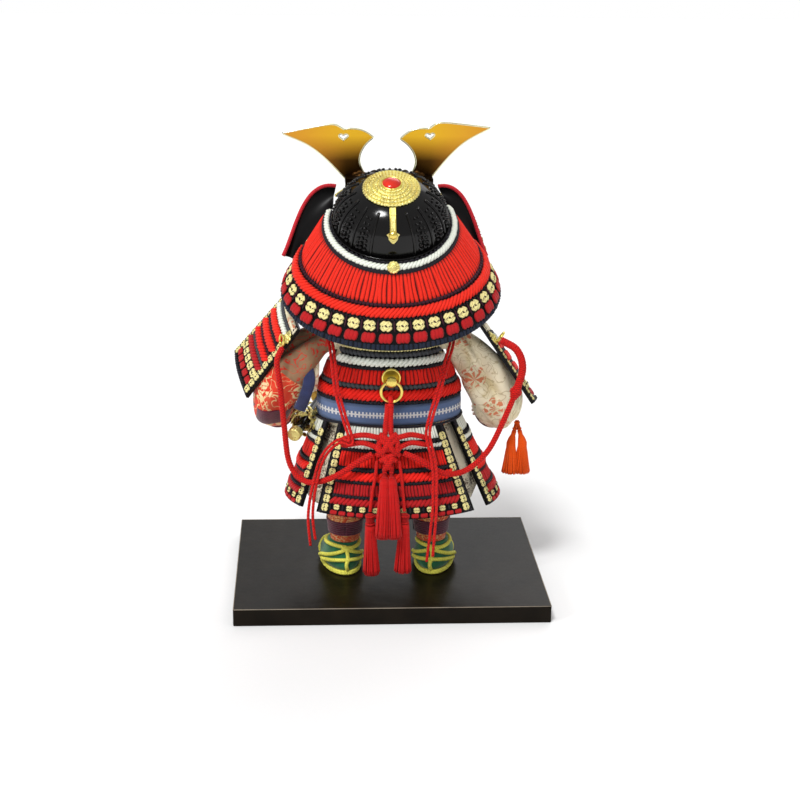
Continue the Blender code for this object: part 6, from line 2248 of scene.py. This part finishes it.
@dataclass
class Arms:
    """The full sleeves with their cuffs, and the hands in them."""

    left: Sequence[tuple] = (
        ((40.3, 0.0, 183.0), (1.0, 0.0, 0.0), 12.3, 9.2), ((51.0, 0.0, 179.5), (0.8, 0.0, -0.6), 14.5, 12.0),
        ((63.0, 0.0, 169.0), (0.6, 0.0, -0.8), 17.0, 15.5),
        ((73.0, 0.0, 155.0), (0.5, -0.1, -0.86), 18.0, 17.7),
        ((81.5, -4.0, 141.0), (0.15, -0.4, -0.9), 18.0, 16.5),
        ((82.5, -13.0, 128.5), (-0.1, -0.7, -0.7), 16.0, 15.5),
        ((79.5, -25.0, 121.5), (-0.3, -0.9, -0.3), 12.0, 12.5))
    right: Sequence[tuple] = (
        ((-40.3, 0.0, 183.0), (-1.0, 0.0, 0.0), 12.3, 9.2),
        ((-49.0, 0.0, 179.5), (-0.7, 0.0, -0.7), 14.0, 11.5),
        ((-58.8, 0.0, 169.5), (-0.55, 0.0, -0.83), 17.0, 14.2),
        ((-68.0, 0.0, 155.0), (-0.5, -0.1, -0.86), 19.0, 18.8),
        ((-75.5, -3.0, 141.0), (-0.35, -0.4, -0.85), 19.5, 19.3),
        ((-79.5, -11.0, 128.5), (0.0, -0.75, -0.66), 18.5, 18.5),
        ((-77.0, -25.0, 121.5), (0.3, -0.9, -0.3), 13.0, 13.5))

    def sleeve(self, name: str, side: float, stations: Sequence[tuple], finish: Finish) -> None:
        """Make one sleeve in soft folds, its cuff and its hand."""
        phase = 0.7 if side > 0.0 else 2.1

        def fold(angle: float, share: float) -> float:
            """Give the folds: slanting drapes that deepen toward the elbow and gather at the cuff."""
            loose = math.sin(math.pi * min(1.0, share * 1.1)) ** 0.7
            drape = (math.sin(3.0 * angle + 7.0 * share + phase)
                     + 0.7 * math.sin(5.0 * angle - 11.0 * share + 2.0 * phase))
            crease = 0.0
            for place, slant, deep in ((0.6, 1.2, 3.0), (-0.9, -1.6, 2.4), (2.4, 2.0, 2.6), (-2.2, 1.4, 2.2)):
                away = math.sin(0.5 * (angle - place - slant * share * side)) / 0.11
                crease -= deep * math.exp(-away ** 2)
            gather = 0.6 * math.sin(14.0 * angle) * max(0.0, share - 0.82) / 0.18
            return -0.7 + 1.5 * drape * loose + 1.35 * crease * loose + gather

        parts = ((f"sleeve_{name}_cloth", finish, 0.0, 1.0, 0.0),)
        if side > 0.0:
            parts = (("sleeve_left_cloth", finish, 0.0, 1.0, 0.0), ("sleeve_left_net", NET, 0.06, 0.46, 0.35),
                     ("sleeve_left_hem", MAROON, 0.7, 0.82, 0.5))
        for label, cloth, start, end, lift in parts:
            shape = swept(stations, 112, 76, fold, (start, end), lift)
            made = shape.piece(label, cloth, [f"sleeve_{name}"] if lift == 0.0 else [])
        wrist = Vector(stations[-1][0])
        way = Vector(stations[-1][1]).normalized()
        first, second = self.cross(way)
        half_across, half_deep = (0.95 * half for half in stations[-1][2:4])
        hem = ring_path(wrist + way * 0.2, first * half_across, second * half_deep, 60)
        corded(f"cuff_{name}", MAROON, [hem], 1.5, 10)
        self.hand(name, side, wrist, way)

    def cross(self, way: Vector) -> tuple[Vector, Vector]:
        """Give the two directions across the wrist."""
        first = (BACK - way * way.y).normalized()
        return first, way.cross(first)

    def hand(self, name: str, side: float, wrist: Vector, way: Vector) -> None:
        """Make one small hand with curled fingers."""
        inward = Vector((-side * 0.55, -0.8, -0.15)).normalized()
        palm = [(wrist + way * 0.5, way, 5.0, 4.6), (wrist + way * 5.0, way, 6.0, 4.8),
                (wrist + way * 9.0 + inward * 2.0, inward, 6.4, 4.4),
                (wrist + way * 9.0 + inward * 6.5, inward, 5.6, 3.6)]
        shape = swept(palm, 28, 16)
        base = wrist + way * 9.0 + inward * 6.0
        across = UP
        bend = inward.cross(across).normalized() * side
        for index, reach in enumerate((5.4, 6.4, 6.2, 5.0)):
            root = base + across * (4.2 - 2.8 * index)
            path = smooth_points([root, root + inward * reach * 0.6, root + inward * reach + bend * 1.2,
                                  root + inward * reach * 0.95 + bend * 3.4], 0.7)
            shape.tube(path, [1.55 - 0.35 * share for share in steps(0.0, 1.0, len(path))], 10)
        thumb = base - inward * 3.0 + across * 5.0
        path = smooth_points([thumb, thumb + inward * 2.5 + across * 2.0,
                              thumb + inward * 5.0 + across * 1.6], 0.7)
        shape.tube(path, [1.7 - 0.3 * share for share in steps(0.0, 1.0, len(path))], 10)
        shape.piece(f"hand_{name}_shell", SKIN, [f"hand_{name}"])

    def build(self) -> None:
        """Make both arms, the under-sleeve strips and the sleeve tassels."""
        for label, cloth, line, half in (
                ("under_sleeve_navy", NAVY_CLOTH,
                 ((59.0, 13.0, 168.0), (57.0, 17.0, 156.0), (60.0, 16.0, 144.0), (64.0, 12.0, 133.0)), 4.2),
                ("under_sleeve_cream", CREAM_BROCADE,
                 ((52.0, 10.0, 170.0), (52.5, 13.0, 158.0), (54.0, 12.0, 147.0)), 2.4)):
            stations = [(point, Vector(after) - Vector(before), 1.3, half)
                        for before, point, after in zip((line[0],) + line[:-1], line, line[1:] + (line[-1],))]
            made = swept(stations, 24, 24).piece(label, cloth)
        self.sleeve("left", 1.0, self.left, RED_BROCADE)
        self.sleeve("right", -1.0, self.right, CREAM_BROCADE)
        Tassel("sleeve_tassel_a", drawn_tassel(-4.4), ORANGE, 40, ["sleeve_tassel"]).build()
        Tassel("sleeve_tassel_b", drawn_tassel(3.8), ORANGE, 40, seed=9).build()
        log.info("arms made")


@dataclass
class Body:
    """The stuffed body inside the armour, with its cloth shoulders."""

    def build(self) -> None:
        """Make the body and the shoulders."""
        rows = []
        angles = turn_angles(72)
        table = BodyArmour().table
        for z in steps(122.3, 193.6, 26):
            half_x, half_y = between(table, z)
            draw = 3.6 + (0.0 if z < 189.0 else (z - 189.0) * 0.9)
            rows.append([Vector(((half_x - draw) * math.sin(angle), (half_y - draw) * math.cos(angle), z))
                         for angle in angles])
        shape = Shape()
        shape.grid(rows, closed=True, caps=True)
        made = shape.piece("body_cloth", CREAM_BROCADE, ["body"])
        spans = ((-41.5, 183.0, 10.6, 8.6), (-30.0, 183.4, 11.8, 9.2), (0.0, 184.0, 12.0, 9.4),
                 (30.0, 183.4, 11.8, 9.2), (41.5, 183.0, 10.6, 8.6))
        stations = [((x, 0.0, z), (1.0, 0.0, 0.0), deep, high) for x, z, deep, high in spans]
        made = swept(stations, 40, 30).piece("shoulder_cloth", CREAM_BROCADE)
        log.info("body made")


@dataclass
class Legs:
    """Trousers, lower legs with their bands, shin guards, felt feet and corded sandals."""

    foot_x: float = 34.5
    leg_x: float = 31.3
    leg_y: float = 9.0
    splay: float = math.radians(9.0)
    foot: Sequence[tuple[float, float, float, float]] = (
        (0.0, 0.0, 12.6, 26.6), (2.5, 0.0, 14.2, 28.0), (6.5, 0.5, 14.2, 27.4), (11.0, 4.0, 12.8, 21.0),
        (15.0, 8.0, 11.4, 15.0), (18.6, 9.0, 10.6, 12.4))

    def trousers(self) -> None:
        """Make the puffed trousers in deep soft folds."""
        table = ((58.0, 47.0, 29.5), (60.0, 53.0, 34.0), (64.0, 59.0, 38.2), (75.0, 63.0, 40.2),
                 (90.0, 59.4, 37.0), (106.0, 52.4, 32.0), (122.0, 46.0, 28.2))
        rows = []
        for z in steps(58.0, 122.0, 40):
            half_x, half_y = between(table, z)
            row = []
            for angle in turn_angles(180):
                pinch = abs(math.sin(5.0 * angle + 0.25 * math.sin(3.0 * angle + z * 0.05))) ** 0.6
                fold = 1.0 + 0.035 * (pinch - 0.75) + 0.008 * math.sin(21.0 * angle + z * 0.08)
                row.append(Vector((half_x * fold * math.sin(angle) - 1.5,
                                   half_y * fold * math.cos(angle), z)))
            rows.append(row)
        shape = Shape()
        shape.grid(rows, closed=True, caps=True)
        made = shape.piece("trousers_cloth", TROUSER, ["trousers"])

    def leg(self, name: str, side: float) -> None:
        """Make one lower leg with its wrapped bands and shin guard."""
        table = ((34.9, 10.4, 11.4), (40.0, 11.2, 12.2), (47.0, 12.0, 13.0), (57.7, 14.0, 15.0))
        rows = []
        for z in steps(34.9, 57.7, 24):
            half_x, half_y = between(table, z)
            rows.append([Vector((side * self.leg_x
                                 + half_x * math.sin(angle) * (1.0 + 0.012 * math.sin(7.0 * angle + z)),
                                 self.leg_y + half_y * math.cos(angle), z))
                         for angle in turn_angles(56)])
        shape = Shape()
        shape.grid(rows, closed=True, caps=True)
        made = shape.piece(f"leg_{name}_cloth", ORANGE_BROCADE, [f"leg_{name}"])
        band = Shape()
        for z in steps(41.3, 50.3, 7):
            half_x, half_y = between(table, z)
            path = oval(half_x + 0.35, half_y + 0.35, z, turn_angles(60, True), side * self.leg_x, self.leg_y)
            band.tube(path, 0.85, 8)
        band.piece(f"leg_{name}_band", MAROON)

        def shin(across: float, along: float) -> Vector:
            """Give a point on the shin guard, along from below."""
            z = 37.0 + 17.0 * along
            grow = 2.1 + 0.10 * (z - 37.0)
            return Vector((side * self.leg_x + (11.6 + grow) * math.sin(across),
                           self.leg_y - (12.6 + grow) * math.cos(across), z))

        half = math.radians(58.0)
        slab(shin, steps(-half, half, 26), steps(0.0, 1.0, 12), -0.8, 0.8).piece(
            f"shin_guard_{name}_plate", BLACK_LACQUER, [f"shin_guard_{name}"], sharp=50.0)
        trim = Shape()
        for across in steps(-half * 0.66, half * 0.66, 5):
            trim.tube([shin(across, along) - BACK * 0.9 * math.cos(across)
                       for along in steps(0.06, 0.94, 10)], 0.5, 6)
        trim.piece(f"shin_guard_{name}_ribs", GOLD)

    def foot_point(self, side: float, angle: float, rise: float, lift: float = 0.0) -> Vector:
        """Give a point on one foot: angle from the heel toward the doll's left, rise from the sole."""
        middle, half_x, half_y = between(self.foot, rise)
        turn = Matrix.Rotation(side * self.splay, 3, "Z")
        flat = turn @ Vector(((half_x + lift) * math.sin(angle),
                              middle + (half_y + lift) * math.cos(angle), 0.0))
        return flat + Vector((side * self.foot_x, 0.0, 15.9 + rise))

    def feet(self, name: str, side: float) -> None:
        """Make one felt foot on its plaited sandal, bound with cord."""
        rows = [[self.foot_point(side, angle, rise) for angle in turn_angles(64)]
                for rise in steps(0.0, 18.6, 20)]
        shape = Shape()
        shape.grid(rows, closed=True, caps=True)
        made = shape.piece(f"foot_{name}_felt", GREEN, [f"foot_{name}"])
        turn = Matrix.Rotation(side * self.splay, 3, "Z")
        sole = Shape()
        for level, inset in ((13.9, 0.0), (14.9, 0.3)):
            for ring in range(5):
                share = 1.0 - 0.2 * ring - inset * 0.05
                flat = oval(13.4 * share, 28.2 * (1.0 - (1.0 - share) * 0.5), 0.0, turn_angles(90, True))
                path = [turn @ point + Vector((side * self.foot_x, 0.0, level)) for point in flat]
                sole.tube(path, 1.25, 8, 2, 5.0, 0.25)
        sole.piece(f"sandal_{name}_plait", STRAW, [f"sandal_{name}"])
        cords = Shape()
        lines = ([(step * math.pi / 12.0, 16.4 + 0.8 * math.sin(step * 0.5)) for step in range(25)],
                 [(-1.75, 0.6), (-1.35, 6.0), (-0.8, 10.5), (-0.3, 13.5), (0.25, 16.0)],
                 [(1.75, 0.6), (1.35, 6.0), (0.8, 10.5), (0.3, 13.5), (-0.25, 16.0)],
                 [(0.0, 0.4), (0.05, 5.0), (-0.05, 10.0), (0.0, 16.0)],
                 [(-1.5, 1.0), (-1.0, 5.0), (-0.5, 7.5), (0.0, 8.2), (0.5, 7.5), (1.0, 5.0), (1.5, 1.0)],
                 [(2.0, 0.6), (2.35, 4.5), (2.8, 8.0), (3.14, 9.5), (3.5, 8.0), (3.9, 4.5), (4.25, 0.6)])
        for line in lines:
            path = [self.foot_point(side, point.x / 20.0, max(0.0, point.z), 0.9)
                    for point in smooth_points([(angle * 20.0, 0.0, rise) for angle, rise in line], 0.9)]
            cords.tube(path, 1.45, 12, 3, 5.0, 0.24)
        cords.piece(f"sandal_{name}_cords", STRAW)

    def build(self) -> None:
        """Make everything below the skirt."""
        self.trousers()
        for name, side in SIDES:
            self.leg(name, side)
            self.feet(name, side)
        log.info("legs made")


# ---------------------------------------------------------------- metal and sword

@dataclass
class BackRing:
    """The gilt boss on the back and the ring that hangs in its eye."""

    def build(self) -> None:
        """Make the boss, its knob and the ring."""
        stand = Matrix.Translation((0.3, 34.0, 162.5)) @ Matrix.Rotation(math.radians(-90.0), 4, "X")
        plate = ((0.0, 0.0), (6.6, 0.0), (6.8, 0.8), (6.3, 1.5), (5.4, 1.2), (5.0, 0.9), (0.0, 0.9))
        turned(plate, stand, 64, 0).piece("ring_boss_plate", GOLD, ["ring_boss"])
        lower = Matrix.Translation((0.3, 34.0, 160.9)) @ Matrix.Rotation(math.radians(-90.0), 4, "X")
        knob = ((0.0, 0.6), (3.3, 0.8), (2.6, 2.4), (2.8, 3.4), (3.9, 4.6), (4.1, 5.8), (3.4, 7.0),
                (1.8, 7.6), (0.0, 7.8))
        turned(knob, lower, 48, 0).piece("ring_boss_knob", GOLD)
        radius = 7.2
        path = ring_path(Vector((0.3, 38.0, 153.4)), UP * radius, Vector((radius, 0.0, 0.0)), 72)
        corded("back_ring_gold", GOLD, [path], 1.1, 14, nodes=["back_ring"], side=BACK)
        log.info("back ring made")


@dataclass
class Sword:
    """The lacquered sheath with its fittings, end cap, hilt and guard."""

    end: tuple[float, float, float] = (66.5, 21.0, 119.0)
    way: tuple[float, float, float] = (0.335, 0.923, -0.178)
    length: float = 54.0

    def build(self) -> None:
        """Make the sword from its cap to its pommel."""
        end = Vector(self.end)
        way = Vector(self.way).normalized()
        mouth = end - way * self.length
        middle = end - way * self.length / 2.0 - Vector((0.0, 0.0, 0.6))
        swept([(mouth, way, 4.4, 3.6), (middle, way, 4.3, 3.6), (end, way, 4.2, 3.6)], 36, 30).piece(
            "sheath_lacquer", BLACK_LACQUER, ["sheath"], sharp=60.0)
        cap = ((0.0, -1.4), (4.6, -1.4), (4.9, -0.8), (4.7, 0.2), (4.9, 1.0), (4.9, 3.8), (4.5, 4.8),
               (3.9, 5.2), (3.5, 4.9), (2.0, 5.3), (0.0, 5.5))
        turned(cap, standing(end, way), 48, 0).piece("sheath_cap_gold", CHASED, ["sheath_cap"])
        frill = Strands("sheath_fitting", CHASED, False, 0.25)
        chance = random.Random(12)
        first, second = way.orthogonal().normalized(), way.cross(way.orthogonal().normalized())
        leaves = 90
        for _ in range(leaves):
            angle = chance.uniform(0.0, 2.0 * math.pi)
            out = first * math.cos(angle) + second * math.sin(angle)
            centre = mouth + way * chance.uniform(24.0, 42.0) + out * chance.uniform(4.8, 9.6)
            run = (way * chance.uniform(-1.0, 1.0) + out * chance.uniform(0.2, 0.9)
                   + out.cross(way) * chance.uniform(-0.8, 0.8)).normalized()
            frill.add(centre, out, run, 6.4, 3.2, 1.4)
        frill.build()
        hilt = [(mouth - way * 2.0, way, 3.6, 2.8), (mouth - way * 14.0, way, 3.4, 2.7),
                (mouth - way * 26.0, way, 3.5, 2.8)]
        swept(hilt, 28, 20).piece("hilt_core", CREAM, ["sword_hilt"])
        wrap = Shape()
        for turn in (1.0, -1.0):
            path = []
            for share in steps(0.0, 1.0, 150):
                angle = turn * share * 2.0 * math.pi * 5.0
                path.append(mouth - way * (3.0 + 22.5 * share)
                            + first * 4.0 * math.cos(angle) + second * 3.5 * math.sin(angle))
            wrap.tube(path, 0.9, 8, 2, 3.0, 0.2)
        wrap.piece("hilt_wrap", NAVY)
        guard = ((0.0, 0.0), (7.6, 0.0), (8.1, 0.5), (8.1, 1.3), (7.6, 1.9), (0.0, 1.9))
        turned(guard, standing(mouth - way * 2.4, way), 64, 4, 0.1).piece("hilt_guard", OLD_GOLD, sharp=50.0)
        pommel = ((0.0, -0.2), (2.8, 0.0), (3.9, 1.4), (4.1, 3.6), (0.0, 3.8))
        turned(pommel, standing(mouth - way * 30.0, way), 40, 0).piece("hilt_pommel", OLD_GOLD)
        log.info("sword made")


def board() -> None:
    """Cover the board, and line its upper edges with a pale line, a painted highlight of their bevel."""
    cover("base_board", BOARD_LACQUER)
    # The pale tubes along the upper edges are a painted highlight of the bevel.
    highlight_edge = Shape()
    inset = 0.2
    x, y, z = 110.0 - inset, 86.0 - inset, BOARD_TOP - inset
    corners = [Vector(corner) for corner in ((-x, -y, z), (x, -y, z), (x, y, z), (-x, y, z))]
    for start, end in zip(corners, corners[1:] + corners[:1]):
        highlight_edge.tube([start.lerp(end, share) for share in steps(0.0, 1.0, 12)], 0.32, 6)
    highlight_edge.piece("board_edge_line", EDGE_HIGHLIGHT_LACQUER)


def cover(node: str, finish: Finish) -> None:
    """Give a CAD node that keeps its shape a better material."""
    made = bpy.data.objects.get(node)
    for slot in made.material_slots:
        slot.material = finish.material()
    if not made.material_slots:
        made.data.materials.append(finish.material())


SILKS = Silks()


def main() -> None:
    """Build every class in order."""
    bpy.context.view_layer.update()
    Studio().build()
    BackCords().build()
    NeckGuard().build()
    ShoulderGuards().build()
    BodyArmour().build()
    Skirt().build()
    Helmet().build()
    Head().build()
    Body().build()
    Arms().build()
    Legs().build()
    BackRing().build()
    Sword().build()
    board()
    SILKS.build()


if __name__ == "__main__":
    logging.basicConfig(level=logging.INFO)
    main()
